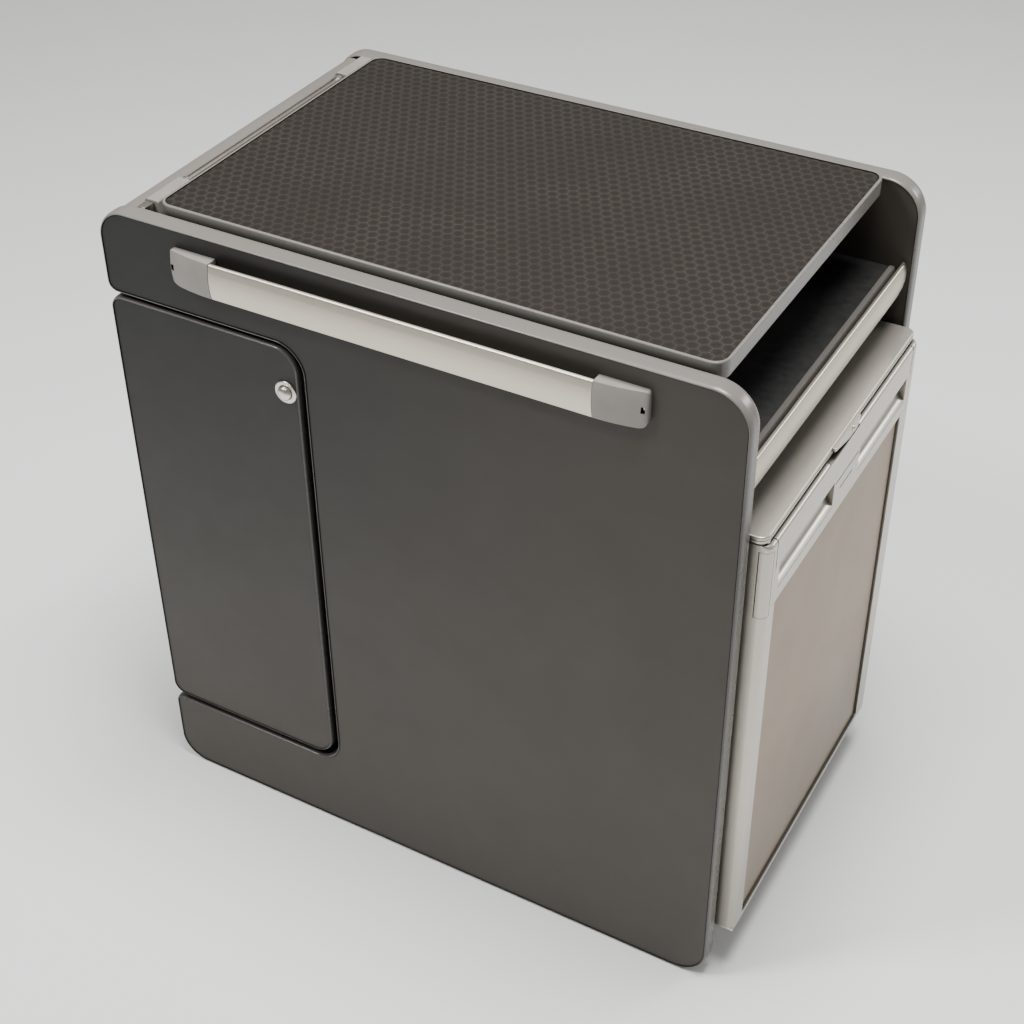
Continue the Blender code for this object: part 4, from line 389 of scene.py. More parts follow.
def make_honeycomb_laminate():
    """Dark laminate with the printed honeycomb, stronger in some patches than in others."""
    material, tree, shader = start_material("lid_laminate_honeycomb", Specular_IOR_Level=0.22)
    place = object_place(tree)
    distance = cell_distance(tree)
    outline = line_at(tree, distance, OUTLINE_PLACE, LINE_SHARE)
    feeds = {0: line_at(tree, distance, RING_PLACE, RING_SHARE), 1: RING_STRENGTH}
    ring = add_node(tree, "ShaderNodeMath", feeds, operation="MULTIPLY").outputs[0]
    lines = add_node(tree, "ShaderNodeMath", {0: outline, 1: ring}, operation="MAXIMUM").outputs[0]
    strength = wandering(tree, place, PRINT_PATCH, PRINT_WEAKEST, 1)
    drawn = add_node(tree, "ShaderNodeMath", {0: lines, 1: strength}, operation="MULTIPLY").outputs[0]
    ground = two_tones(tree, place, LID_TONE_PATCH, "#201C18", "#25211D")
    feeds = {"Factor": drawn, COLOUR_A: ground, COLOUR_B: hex_colour("#504D48")}
    colour = add_node(tree, "ShaderNodeMix", feeds, data_type="RGBA").outputs[COLOUR_RESULT]
    tree.links.new(colour, shader.inputs["Base Color"])
    feeds = {"Value": drawn, "To Min": GROUND_ROUGHNESS, "To Max": LINE_ROUGHNESS}
    gloss = add_node(tree, "ShaderNodeMapRange", feeds).outputs["Result"]
    tree.links.new(gloss, shader.inputs["Roughness"])
    feeds = {"Vector": place, "Scale": 1 / PEARL, "Detail": FINE_DETAIL}
    pearl = add_node(tree, "ShaderNodeTexNoise", feeds).outputs["Fac"]
    feeds = {0: lines, 1: LINE_RELIEF_SHARE, 2: pearl}
    height = add_node(tree, "ShaderNodeMath", feeds, operation="MULTIPLY_ADD").outputs[0]
    bump = add_node(tree, "ShaderNodeBump", {"Height": height, "Distance": LID_RELIEF, "Strength": 1.0})
    tree.links.new(bump.outputs["Normal"], shader.inputs["Normal"])
    return material


lid_laminate = make_honeycomb_laminate()

# %% [markdown]
# The edge trim is extruded PVC, mid grey and satin. An extrusion is smooth along its length, so it needs
# only slow changes of gloss. Its upright runs are painted darker than its top, as shade. The rail's end caps
# and the hinge blocks are a lighter grey and moulded, with a little more texture. Both plastics are painted
# dark in narrow gaps, as shade.

# %% Grey plastics
# Painted shade: below these heights the trim's colour darkens
TRIM_SHADED_HEIGHT = 560 * MM
TRIM_LIT_HEIGHT = 725 * MM
trim_plastic = plain_finish(
    "trim_extruded_pvc",
    dark="#6F6B66",
    light="#74706B",
    roughness=(0.27, 0.28),
    patch=200 * MM,
    texture=0.6 * MM,
    relief=0.001 * MM,
    gap_shade=True,
    below=("#45423F", TRIM_SHADED_HEIGHT, TRIM_LIT_HEIGHT),
)
cap_plastic = plain_finish(
    "cap_moulded_abs",
    dark="#827E78",
    light="#8B8781",
    roughness=(0.36, 0.44),
    patch=25 * MM,
    texture=0.5 * MM,
    relief=0.008 * MM,
    gap_shade=True,
)

# %% [markdown]
# The rails are anodised aluminium extrusions. Anodising leaves a pale, silky surface, and the die leaves
# fine lines along the profile: along X on the table rail, along Y on the shelf's rail and the hinge rod.

# %% Aluminium
look = {"roughness": (0.34, 0.44), "along": 0}
rail_aluminium = drawn_metal("rail_anodised_aluminium", "#CDC4B4", "#D6CEC0", **look)
look = {"roughness": (0.32, 0.42), "along": 1}
cross_aluminium = drawn_metal("cross_rail_anodised_aluminium", "#C8BFAF", "#D0C8BA", **look)

# %% [markdown]
# The fridge's door frame, fascia and top plate are ABS painted in metallic silver. The paint holds fine
# flakes, which give it a soft metallic sheen under a satin lacquer. The flakes are drawn at half a
# millimetre, far coarser than real ones, because real ones wouldn't show. Towards the floor and in narrow
# gaps the silver is painted darker, as shade.

# %% Silver paint
FLAKE = 0.5 * MM
SILVER_SHADED_HEIGHT = 60 * MM
SILVER_LIT_HEIGHT = 300 * MM
SILVER_GLOSS_PATCH = 20 * MM
SILVER_GLOSS = (0.3, 0.35)
ORANGE_PEEL = 1.5 * MM
ORANGE_PEEL_RELIEF = 0.004 * MM


def make_silver_paint():
    """Warm silver paint with fine flakes under a thin satin lacquer, painted darker towards the floor and in
    narrow gaps as shade.
    """
    values = {"Metallic": 0.65, "Coat_Weight": 0.15, "Coat_Roughness": 0.25}
    material, tree, shader = start_material("fridge_silver_paint", **values)
    place = object_place(tree)
    cells = add_node(tree, "ShaderNodeTexVoronoi", {"Vector": place, "Scale": 1 / FLAKE})
    flakes = add_node(tree, "ShaderNodeSeparateColor", {"Color": cells.outputs["Color"]}).outputs[0]
    feeds = {"Factor": flakes, COLOUR_A: hex_colour("#BDB7AC"), COLOUR_B: hex_colour("#CAC4B9")}
    unshaded = add_node(tree, "ShaderNodeMix", feeds, data_type="RGBA").outputs[COLOUR_RESULT]
    # Painted shade: darker towards the floor and in narrow gaps
    colour = painted_gap_shade(tree, painted_shade_below(tree, unshaded, "#A09A90", SILVER_SHADED_HEIGHT, SILVER_LIT_HEIGHT))
    tree.links.new(colour, shader.inputs["Base Color"])
    gloss = wandering(tree, place, SILVER_GLOSS_PATCH, *SILVER_GLOSS)
    tree.links.new(gloss, shader.inputs["Roughness"])
    fine_relief(tree, shader, place, ORANGE_PEEL, ORANGE_PEEL_RELIEF)
    return material


silver_paint = make_silver_paint()

# %% [markdown]
# The decor sheet in the fridge door is thin lacquered aluminium in taupe. It is smooth enough to give a
# blurred reflection of the floor. Towards the floor it is painted darker, as shade.

# %% Decor sheet
DECOR_SHADED_HEIGHT = 90 * MM
DECOR_LIT_HEIGHT = 330 * MM
DECOR_TONE_PATCH = 90 * MM
DECOR_GLOSS_PATCH = 60 * MM
DECOR_GLOSS = (0.28, 0.32)


def make_decor_sheet():
    """Glossy taupe lacquer with faint clouds, painted darker towards the floor as shade."""
    values = {"Coat_Weight": 0.1, "Coat_Roughness": 0.2, "Specular_IOR_Level": 0.3}
    material, tree, shader = start_material("decor_lacquered_sheet", **values)
    place = object_place(tree)
    unshaded = two_tones(tree, place, DECOR_TONE_PATCH, "#7C6039", "#81653D")
    # Painted shade: darker towards the floor
    colour = painted_shade_below(tree, unshaded, "#634D2A", DECOR_SHADED_HEIGHT, DECOR_LIT_HEIGHT)
    tree.links.new(colour, shader.inputs["Base Color"])
    gloss = wandering(tree, place, DECOR_GLOSS_PATCH, *DECOR_GLOSS)
    tree.links.new(gloss, shader.inputs["Roughness"])
    return material


decor_sheet = make_decor_sheet()

# %% [markdown]
# The pod's inner boards are plywood faced in black, so that little shows in the gaps. The lock and the tap
# are nickel plated, the hidden brackets are zinc plated, and the fittings in the worktop are pressed
# stainless steel, a black enamelled pan support and black plastic. The fridge is lined in white plastic.

# %% Materials of the inner pieces
# A dull black that lets the gaps between the boards go dark
look = {"roughness": (0.5, 0.62), "patch": 30 * MM, "texture": 1.0 * MM}
black_board = plain_finish("board_black_film", "#141312", "#1B1A19", **look)
# A soft sheen on the lock's case and the knob
look = {"roughness": (0.4, 0.5), "patch": 12 * MM}
black_plastic = plain_finish("moulded_black_plastic", "#161616", "#1D1C1B", **look)
# A matt dark sheet that paints shade: the line round the decor panel and the strip under the top plate
look = {"roughness": (0.6, 0.75), "patch": 10 * MM}
dark_rubber = plain_finish("gap_shade_dark_rubber", "#1F1E1D", "#282726", **look)
# A pale matt band between the fridge and its door
look = {"roughness": (0.5, 0.6), "patch": 20 * MM}
seal_grey = plain_finish("magnetic_seal_pvc", "#9C9A96", "#A5A39F", **look)
# A bright, smooth white that keeps the fridge's inside light
look = {"roughness": (0.28, 0.36), "patch": 60 * MM}
fridge_white = plain_finish("liner_white_polystyrene", "#E4E3DE", "#ECEBE6", **look)
# Thick glaze over iron: black, wavy and half glossy
look = {"roughness": (0.28, 0.4), "patch": 6 * MM, "texture": 1.5 * MM, "relief": 0.05 * MM}
enamel = plain_finish("pan_support_black_enamel", "#151515", "#1E1E1D", **look)
# A warm, softly mirroring metal on the lock and the tap
look = {"roughness": (0.26, 0.34), "patch": 8 * MM, "Metallic": 1.0}
nickel = plain_finish("satin_nickel_plate", "#D8D2C8", "#E2DDD4", **look)
# A cooler metal with a cloudy gloss on the hidden fittings
look = {"roughness": (0.3, 0.45), "patch": 5 * MM, "Metallic": 1.0}
zinc_plate = plain_finish("zinc_plated_steel", "#B9BAB4", "#CBCCC8", **look)
# Fine brushed lines that stretch every highlight in the tray and the sink
look = {"roughness": (0.24, 0.36), "along": 0, "length": 40 * MM}
stainless = drawn_metal("brushed_stainless_steel", "#BFBDB8", "#CFCDC9", **look)

# %% [markdown]
# Each CAD solid keeps its place and gets the finish of its record slot. The ones that show are replaced
# further down by finer pieces in the same finish.

# %% Finishes of the solids
FINISH_OF_SLOT = {
    "panel_laminate": panel_laminate,
    "lid_laminate": lid_laminate,
    "trim_plastic": trim_plastic,
    "black_board": black_board,
    "aluminium": cross_aluminium,
    "cap_plastic": cap_plastic,
    "zinc_steel": zinc_plate,
    "nickel": nickel,
    "fridge_silver": silver_paint,
    "decor_panel": decor_sheet,
    "dark_rubber": dark_rubber,
    "seal_grey": seal_grey,
    "fridge_white": fridge_white,
    "stainless": stainless,
    "cast_iron": enamel,
    "black_plastic": black_plastic,
}
SLOT_OF_NODE = {entry["node"]: entry["material_slot"] for entry in frame["record"]["subparts"]}
for name, thing in nodes.items():
    thing.data.materials.clear()
    thing.data.materials.append(FINISH_OF_SLOT[SLOT_OF_NODE[name]])
nodes["table_rail"].data.materials[0] = rail_aluminium
print("finishes given to the solids:", len(set(SLOT_OF_NODE.values())))

# %% [markdown]
# Flat drawings are laid in the pod in three ways: as seen from the near side, from above, or from the end.
# Rounded outlines, lofts through a row of rings, and turned shapes make nearly every piece. Each function
# gives a closed mesh, drawn as finely as a close view needs. A piece that stands for a solid reads that
# solid's box, so that it lies exactly where the solid is.

# %% Helpers for shapes
ARC_STEPS = 18
TURN_STEPS = 64


def side_view(u, v, w):
    """u along X, v up, w across the pod."""
    return (u, w, v)


def plan_view(u, v, w):
    """u along X, v across the pod, w up."""
    return (u, v, w)


def end_view(u, v, w):
    """u across the pod, v up, w along X."""
    return (w, u, v)


def rounded(corners, inset=0, steps=ARC_STEPS):
    """Points of an anticlockwise outline of (u, v, radius) corners, moved inwards by inset."""
    points = []
    for index, (u, v, radius) in enumerate(corners):
        here = Vector((u, v))
        way_in = (here - Vector(corners[index - 1][:2])).normalized()
        way_out = (Vector(corners[(index + 1) % len(corners)][:2]) - here).normalized()
        left_in = Vector((-way_in.y, way_in.x))
        left_out = Vector((-way_out.y, way_out.x))
        corner = here + (left_in + left_out) * (inset / (1 + left_in.dot(left_out)))
        turn = math.atan2(way_in.cross(way_out), way_in.dot(way_out))
        inward = 1 if turn > 0 else -1
        reach = radius - inward * inset
        if radius == 0 or reach <= 0:
            points.append(corner)
            continue
        centre = corner - way_in * (reach * math.tan(abs(turn) / 2)) + left_in * (inward * reach)
        start = math.atan2(-inward * left_in.y, -inward * left_in.x)
        for step in range(steps + 1):
            angle = start + turn * step / steps
            points.append(centre + Vector((math.cos(angle), math.sin(angle))) * reach)
    return points


def rectangle(left, right, bottom, top, radius=0):
    """The four corners of a rectangle, anticlockwise."""
    return [(left, bottom, radius), (right, bottom, radius), (right, top, radius), (left, top, radius)]


def loft(rings, closed=False):
    """A mesh through rings of points: its ends are capped, or joined when it is closed."""
    mesh = bmesh.new()
    rows = [[mesh.verts.new(point) for point in points] for points in rings]
    bands = list(zip(rows, rows[1:]))
    if closed:
        bands.append((rows[-1], rows[0]))
    else:
        mesh.faces.new(rows[0])
        mesh.faces.new(rows[-1])
    for low, high in bands:
        for first in range(len(low)):
            second = (first + 1) % len(low)
            mesh.faces.new((low[first], low[second], high[second], high[first]))
    bmesh.ops.recalc_face_normals(mesh, faces=mesh.faces)
    return mesh


def layered(corners, layers, place, closed=False):
    """A board or a ring made of layers (depth, inset), each the same outline moved inwards."""
    rings = []
    for depth, inset in layers:
        rings.append([place(u, v, depth) for u, v in rounded(corners, inset)])
    return loft(rings, closed)


def prism(points, place, start, end):
    """A flat outline carried straight from start to end."""
    return loft([[place(u, v, depth) for u, v in points] for depth in (start, end)])


def quarter_round(steps):
    """The angles from nought to a quarter turn, in even steps."""
    return [math.pi / 2 * step / steps for step in range(steps + 1)]


def block(low, high):
    """A box between two corners."""
    return prism(rounded(rectangle(low[0], high[0], low[1], high[1])), plan_view, low[2], high[2])


def turned(profile, centre, place, closed=False, steps=TURN_STEPS):
    """A turned solid: each (radius, depth) of the profile becomes a circle about the centre."""
    rings = []
    for radius, depth in profile:
        circle = []
        for step in range(steps):
            angle = 2 * math.pi * step / steps
            u = centre[0] + radius * math.cos(angle)
            v = centre[1] + radius * math.sin(angle)
            circle.append(place(u, v, depth))
        rings.append(circle)
    return loft(rings, closed)


def together(parts):
    """Several meshes in one."""
    whole = bmesh.new()
    for part in parts:
        data = bpy.data.meshes.new("part")
        part.to_mesh(data)
        part.free()
        whole.from_mesh(data)
        bpy.data.meshes.remove(data)
    return whole


def span(name):
    """The lowest and the highest corner of a solid, in the corner frame."""
    low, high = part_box(name)
    return Vector(low) - CORNER, Vector(high) - CORNER


# %% [markdown]
# One function finishes every piece. Real edges are never sharp, so a small bevel eases them and catches the
# light. Weighted normals then keep the large flat faces flat next to those narrow bevels. Shapes can be cut
# out first, with a Boolean against a drawn tool. Every modifier is applied here, and the piece then says
# which body it rides on, which solid it stands for and which finish it has.

# %% Helpers for pieces
SHARP_ANGLE = math.radians(38)
BEVEL_ANGLE = math.radians(42)
BEVEL_SEGMENTS = 3
SAME_POINT = 0.001 * MM
pieces = {}


def show(name, mesh):
    """A mesh drawn in the corner frame as an object at its place in the pod."""
    bmesh.ops.remove_doubles(mesh, verts=mesh.verts, dist=SAME_POINT)
    bmesh.ops.recalc_face_normals(mesh, faces=mesh.faces)
    bmesh.ops.translate(mesh, verts=mesh.verts, vec=CORNER)
    data = bpy.data.meshes.new(name)
    mesh.to_mesh(data)
    mesh.free()
    return add_object(name, data)


def take_result(thing):
    """Turn what the modifiers show into the piece's own mesh."""
    graph = bpy.context.evaluated_depsgraph_get()
    result = bpy.data.meshes.new_from_object(thing.evaluated_get(graph))
    thing.modifiers.clear()
    drawn = thing.data
    thing.data = result
    bpy.data.meshes.remove(drawn)


def clear_away(thing):
    """Remove an object that was only a help, and its mesh."""
    data = thing.data
    bpy.data.objects.remove(thing)
    bpy.data.meshes.remove(data)


def work(thing, mesh, operation):
    """Cut a drawn shape out of a piece, or join it on."""
    tool = show("tool", mesh)
    change = thing.modifiers.new("change", "BOOLEAN")
    change.operation = operation
    change.object = tool
    take_result(thing)
    clear_away(tool)


def piece(name, mesh, material, body="cabinet", stands_for=None, slot=None, bevel=0, cuts=(), joins=()):
    """One finished piece, with eased edges, riding on its body."""
    made = show(name, mesh)
    for shape in joins:
        work(made, shape, "UNION")
    for shape in cuts:
        work(made, shape, "DIFFERENCE")
    made.data.materials.clear()
    made.data.materials.append(material)
    if bevel:
        eased = made.modifiers.new("eased_edges", "BEVEL")
        eased.width = bevel
        eased.segments = BEVEL_SEGMENTS
        eased.limit_method = "ANGLE"
        eased.angle_limit = BEVEL_ANGLE
        take_result(made)
    made.data.shade_smooth()
    made.data.set_sharp_from_angle(angle=SHARP_ANGLE)
    even = made.modifiers.new("even_shading", "WEIGHTED_NORMAL")
    even.keep_sharp = True
    take_result(made)
    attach(made, body)
    if stands_for:
        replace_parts(made, stands_for)
    pieces[name] = made
    return made


# %% [markdown]
# The edging of the boards is T-trim: a plastic extrusion with a rounded crown, two thin lips that lie over
# the board's faces and a stem that is knocked into a groove. A long profile like this suits a sweep by
# Geometry Nodes: the board's outline is the path, the section is the profile, and every corner follows.

# %% A sweep, as a node tree
LIP = 0.7 * MM
LIP_REACH = 2.75 * MM
TRIM_RISE = 1.65 * MM
STEM_WIDTH = 2.4 * MM
STEM_LENGTH = 5.7 * MM
LIP_STEP = LIP + GAP
CROWN_SHOULDER = 7 * MM
CROWN_DROP = 2.4 * MM
LID_SHOULDER = 1.8 * MM
LID_DROP = 1.2 * MM
CROWN_STEPS = 8
LIP_RADIUS = 0.3 * MM
SEAM_WIDTH = 0.9 * MM
SEAM_DEPTH = 1.0 * MM
SECTION_STEPS = 6


def start_tree(name, **inputs):
    """A geometry node tree with those named inputs, and its first and last nodes."""
    tree = bpy.data.node_groups.new(name, "GeometryNodeTree")
    tree.interface.new_socket("Geometry", in_out="INPUT", socket_type="NodeSocketGeometry")
    for label, kind in inputs.items():
        tree.interface.new_socket(label, in_out="INPUT", socket_type="NodeSocket" + kind)
    tree.interface.new_socket("Geometry", in_out="OUTPUT", socket_type="NodeSocketGeometry")
    return tree, add_node(tree, "NodeGroupInput").outputs


def end_tree(tree, shape, finish):
    """Every tree ends the same way: real geometry, in its material."""
    real = add_node(tree, "GeometryNodeRealizeInstances", {"Geometry": shape}).outputs[0]
    done = add_node(tree, "GeometryNodeSetMaterial", {"Geometry": real, "Material": finish}).outputs[0]
    add_node(tree, "NodeGroupOutput", {"Geometry": done})
    return tree


def run_tree(tree, points, edges, **values):
    """Run a tree on a drawing of points and edges, and give what it makes as a mesh to go on with."""
    drawing = bpy.data.meshes.new("drawing")
    drawing.from_pydata(points, edges, [])
    holder = add_object("drawing", drawing)
    modifier = holder.modifiers.new(tree.name, "NODES")
    modifier.node_group = tree
    for item in tree.interface.items_tree:
        if item.name in values:
            modifier[item.identifier] = values[item.name]
    graph = bpy.context.evaluated_depsgraph_get()
    result = bpy.data.meshes.new_from_object(holder.evaluated_get(graph))
    clear_away(holder)
    mesh = bmesh.new()
    mesh.from_mesh(result)
    bpy.data.meshes.remove(result)
    return mesh


def loop_edges(count):
    """Edges that close a loop of points."""
    return [(index, (index + 1) % count) for index in range(count)]


def make_sweep_tree():
    """A tree that carries a profile round a closed path in the XY plane."""
    tree, given = start_tree("sweep_round_outline", Profile="Object", Finish="Material")
    path = add_node(tree, "GeometryNodeMeshToCurve", {"Mesh": given["Geometry"]}).outputs["Curve"]
    upright = add_node(tree, "GeometryNodeSetCurveNormal", {"Curve": path}, mode="Z_UP").outputs["Curve"]
    drawn = add_node(tree, "GeometryNodeObjectInfo", {"Object": given["Profile"]}).outputs["Geometry"]
    section = add_node(tree, "GeometryNodeMeshToCurve", {"Mesh": drawn}).outputs["Curve"]
    feeds = {"Curve": upright, "Profile Curve": section}
    swept = add_node(tree, "GeometryNodeCurveToMesh", feeds).outputs["Mesh"]
    return end_tree(tree, swept, given["Finish"])


sweep_tree = make_sweep_tree()


def sweep(outline, section, place, start, material):
    """Carry a section of (outwards, across) points round an outline, and lay it in the pod from start on."""
    profile_data = bpy.data.meshes.new("profile")
    profile_data.from_pydata([(out, -across, 0) for out, across in section], loop_edges(len(section)), [])
    profile = add_object("profile", profile_data)
    points = [(u, v, 0) for u, v in outline]
    mesh = run_tree(sweep_tree, points, loop_edges(len(points)), Profile=profile, Finish=material)
    clear_away(profile)
    for vertex in mesh.verts:
        vertex.co = place(vertex.co.x, vertex.co.y, vertex.co.z + start)
    return mesh


def trim_section(width, reach=LIP_REACH, shoulder=CROWN_SHOULDER, drop=CROWN_DROP):
    """The T-trim's section as (outwards, across), for a board that wide with its lips."""
    base = GAP - TRIM_RISE
    stem_end = base - STEM_LENGTH
    stem_low = (width - STEM_WIDTH) / 2
    stem_high = (width + STEM_WIDTH) / 2
    corners = []
    for angle in quarter_round(CROWN_STEPS):
        corners.append((-drop * (1 - math.sin(angle)), shoulder * (1 - math.cos(angle)), 0))
    corners += [(out, width - across, 0) for out, across, _ in reversed(corners)]
    corners += [(-reach, width, LIP_RADIUS), (-reach, width - LIP, LIP_RADIUS)]
    corners += [(base, width - LIP, 0), (base, stem_high, 0), (stem_end, stem_high, 0)]
    corners += [(stem_end, stem_low, 0), (base, stem_low, 0), (base, LIP, 0)]
    corners += [(-reach, LIP, LIP_RADIUS), (-reach, 0, LIP_RADIUS)]
    return rounded(corners, steps=SECTION_STEPS)


def trim(name, corners, place, start, width, body="cabinet", cuts=(), **crown):
    """A ring of T-trim round a rounded outline."""
    mesh = sweep(rounded(corners), trim_section(width, **crown), place, start, trim_plastic)
    return piece(name + "_fine", mesh, trim_plastic, body, stands_for=name, cuts=cuts)


def board(name, corners, place, start, thickness, material, body="cabinet", cuts=()):
    """A rounded board with a groove in its edge for the trim's stem and a rebate under each lip."""
    middle = start + thickness / 2
    half = STEM_WIDTH / 2 + GAP
    groove = TRIM_RISE + STEM_LENGTH
    seam = LIP_REACH + SEAM_WIDTH
    end = start + thickness
    layers = [(start, seam), (start + SEAM_DEPTH, seam), (start + SEAM_DEPTH, TRIM_RISE)]
    layers += [(middle - half, TRIM_RISE), (middle - half, groove), (middle + half, groove)]
    layers += [(middle + half, TRIM_RISE), (end - SEAM_DEPTH, TRIM_RISE)]
    layers += [(end - SEAM_DEPTH, seam), (end, seam)]
    return piece(name + "_fine", layered(corners, layers, place), material, body, stands_for=name, cuts=cuts)


# %% [markdown]
# The near side panel is one big board with an opening for the cupboard door, which is cut in from its left
# edge, so that the door reaches the pod's end. The trim follows every corner of that outline. The far panel
# is whole. Both get the same laminate.

# %% Side panels
RIGHT_RADIUS = 38 * MM
LEFT_RADIUS = 33 * MM
CUTOUT_RIGHT = 227 * MM
CUTOUT_BOTTOM = 95 * MM
CUTOUT_TOP = PANEL_HEIGHT - 93 * MM
CUTOUT_RADIUS = 30 * MM
UPPER_STRIP_RADIUS = 12 * MM
LOWER_STRIP_RADIUS = 9 * MM
near_corners = [
    (0, 0, LEFT_RADIUS),
    (PANEL_LENGTH, 0, RIGHT_RADIUS),
    (PANEL_LENGTH, PANEL_HEIGHT, RIGHT_RADIUS),
    (0, PANEL_HEIGHT, LEFT_RADIUS),
    (0, CUTOUT_TOP, UPPER_STRIP_RADIUS),
    (CUTOUT_RIGHT, CUTOUT_TOP, CUTOUT_RADIUS),
    (CUTOUT_RIGHT, CUTOUT_BOTTOM, CUTOUT_RADIUS),
    (0, CUTOUT_BOTTOM, LOWER_STRIP_RADIUS),
]
far_corners = near_corners[:4]
far_start = span("far_side_trim")[0].y
board("near_side_panel", near_corners, side_view, LIP_STEP, BOARD, panel_laminate)
trim("near_side_trim", near_corners, side_view, 0, TRIM_WIDTH)
board("far_side_panel", far_corners, side_view, far_start + LIP_STEP, BOARD, panel_laminate)
trim("far_side_trim", far_corners, side_view, far_start, TRIM_WIDTH)
print("trim round the near panel:", len(pieces["near_side_trim_fine"].data.polygons), "faces")

# %% [markdown]
# The lid is a 16 mm board in the honeycomb laminate, with its own ring of trim. Its laminate lies a little
# below the trim's lip, which draws a thin dark line all round.

# %% Lid
LID_RADIUS = 15 * MM
low, high = span("lid_trim")
lid_corners = rectangle(low.x, high.x, low.y, high.y, LID_RADIUS)
lid_thickness = high.z - low.z
thickness = lid_thickness - 2 * LIP_STEP
board("lid_board", lid_corners, plan_view, low.z + LIP_STEP, thickness, lid_laminate, "lid")
crown = {"shoulder": LID_SHOULDER, "drop": LID_DROP}
trim("lid_trim", lid_corners, plan_view, low.z, lid_thickness, "lid", **crown)
print("lid:", [round(size / MM, 1) for size in high - low], "mm")

# %% [markdown]
# The end board under the hinge and the worktop shelf have their trim on one straight edge only, so a plain
# extrusion of the same section is enough.

# %% Straight trims
TRIM_JOINT = 1.5 * MM
low, high = span("end_board_trim")
section = [(low.x + across, high.z + out) for out, across in trim_section(high.x - low.x)]
mesh = prism(section, side_view, low.y + TRIM_JOINT, high.y - TRIM_JOINT)
piece("end_board_trim_fine", mesh, trim_plastic, stands_for="end_board_trim")
low, high = span("shelf_edge_trim")
section = trim_section(high.z - low.z, high.x - low.x - GAP)
section = [(high.x + out, low.z + across) for out, across in section]
mesh = prism(section, side_view, low.y, high.y)
piece("shelf_edge_trim_fine", mesh, trim_plastic, stands_for="shelf_edge_trim")

# %% [markdown]
# The cupboard door is a board with trim all round, hung on two hinges at its left edge. Its push lock sits in
# a bored hole near the free edge: a nickel-plated rosette holds a domed button that is pressed to lock.

# %% Cupboard door and push lock
DOOR_RIGHT_RADIUS = 25.5 * MM
DOOR_LEFT_RADIUS = 15 * MM
LOCK_HOLE_RADIUS = 10.3 * MM
ROSETTE_EDGE = 1.2 * MM
ROSETTE_LIP = 0.6 * MM
ROSETTE_GROOVE = 0.6 * MM
BUTTON_DOME = 3.2 * MM
DOME_STEPS = 14
low, high = span("cupboard_door_trim")
door_corners = [
    (low.x, low.z, DOOR_LEFT_RADIUS),
    (high.x, low.z, DOOR_RIGHT_RADIUS),
    (high.x, high.z, DOOR_RIGHT_RADIUS),
    (low.x, high.z, DOOR_LEFT_RADIUS),
]
button_low, button_high = span("lock_button")
lock_centre = ((button_low.x + button_high.x) / 2, (button_low.z + button_high.z) / 2)


def lock_hole():
    """The bored hole through the door for the lock."""
    profile = [(LOCK_HOLE_RADIUS, -OVERRUN), (LOCK_HOLE_RADIUS, TRIM_WIDTH + OVERRUN)]
    return turned(profile, lock_centre, side_view)


def push_lock():
    """The rosette with its rolled edge, and the domed button inside it."""
    rose_low, rose_high = span("lock_rosette")
    outer = (rose_high.x - rose_low.x) / 2
    button = (button_high.x - button_low.x) / 2
    inner = button + ROSETTE_GROOVE
    front = rose_low.y
    back = rose_high.y
    section = [(inner, front, ROSETTE_LIP), (inner, back, 0), (outer, back, 0), (outer, front, ROSETTE_EDGE)]
    profile = rounded(section, steps=SECTION_STEPS)
    rosette = turned(profile, lock_centre, side_view, closed=True)
    piece("lock_rosette_fine", rosette, nickel, "cupboard_door", stands_for="lock_rosette")
    tip = button_low.y
    profile = [(button, button_high.y)]
    for angle in quarter_round(DOME_STEPS)[:-1]:
        profile.append((button * math.cos(angle), tip + BUTTON_DOME * (1 - math.sin(angle))))
    dome = turned(profile, lock_centre, side_view)
    piece("lock_button_fine", dome, nickel, "lock_button", stands_for="lock_button")


values = {"body": "cupboard_door", "cuts": (lock_hole(),)}
board("cupboard_door_board", door_corners, side_view, LIP_STEP, BOARD, panel_laminate, **values)
values = {"body": "cupboard_door", "cuts": (lock_hole(),)}
trim("cupboard_door_trim", door_corners, side_view, 0, TRIM_WIDTH, **values)
push_lock()
print("lock centre:", [round(value / MM, 1) for value in lock_centre], "mm")

# %% [markdown]
# Two aluminium extrusions share one kind of profile, open at the top: a bulged front wall, a floor and a
# short back flange. A folding table hooks into the one on the near panel. The other finishes the worktop
# shelf, and its lower far corner is rounded off.

# %% Aluminium rails
RAIL_WALL = 3 * MM
RAIL_FLANGE = 2.5 * MM
RAIL_FLANGE_HEIGHT = 14 * MM
TABLE_RAIL_BULGE = 2.4 * MM
FRONT_RAIL_BULGE = 2.5 * MM
FRONT_RAIL_END_RADIUS = 22 * MM
RAIL_EDGE = 0.4 * MM
RAIL_TOP_RADIUS = 2.8 * MM
BULGE_STEPS = 20


def rail_front(height, depth, bulge):
    """The bulged front of a rail as (out from its seat, up), from bottom to top."""
    points = []
    for step in range(BULGE_STEPS + 1):
        share = 2 * step / BULGE_STEPS - 1
        points.append((depth - bulge * share * share, height * step / BULGE_STEPS))
    return points


def rail_section(height, depth, bulge):
    """The open rail profile: front wall, floor and back flange."""
    front = rail_front(height, depth, bulge)
    back = [(out - RAIL_WALL, up) for out, up in reversed(front) if up > RAIL_WALL]
    floor_out = depth - bulge - RAIL_WALL
    corners = [(out, up, 0) for out, up in front if up < height - 2 * RAIL_TOP_RADIUS]
    corners.append((depth - bulge, height, RAIL_TOP_RADIUS))
    corners += [(out, up, 0) for out, up in back + [(floor_out, RAIL_WALL), (RAIL_FLANGE, RAIL_WALL)]]
    corners += [(RAIL_FLANGE, RAIL_FLANGE_HEIGHT, 0), (0, RAIL_FLANGE_HEIGHT, 0), (0, 0, 0)]
    return rounded(corners, steps=SECTION_STEPS)


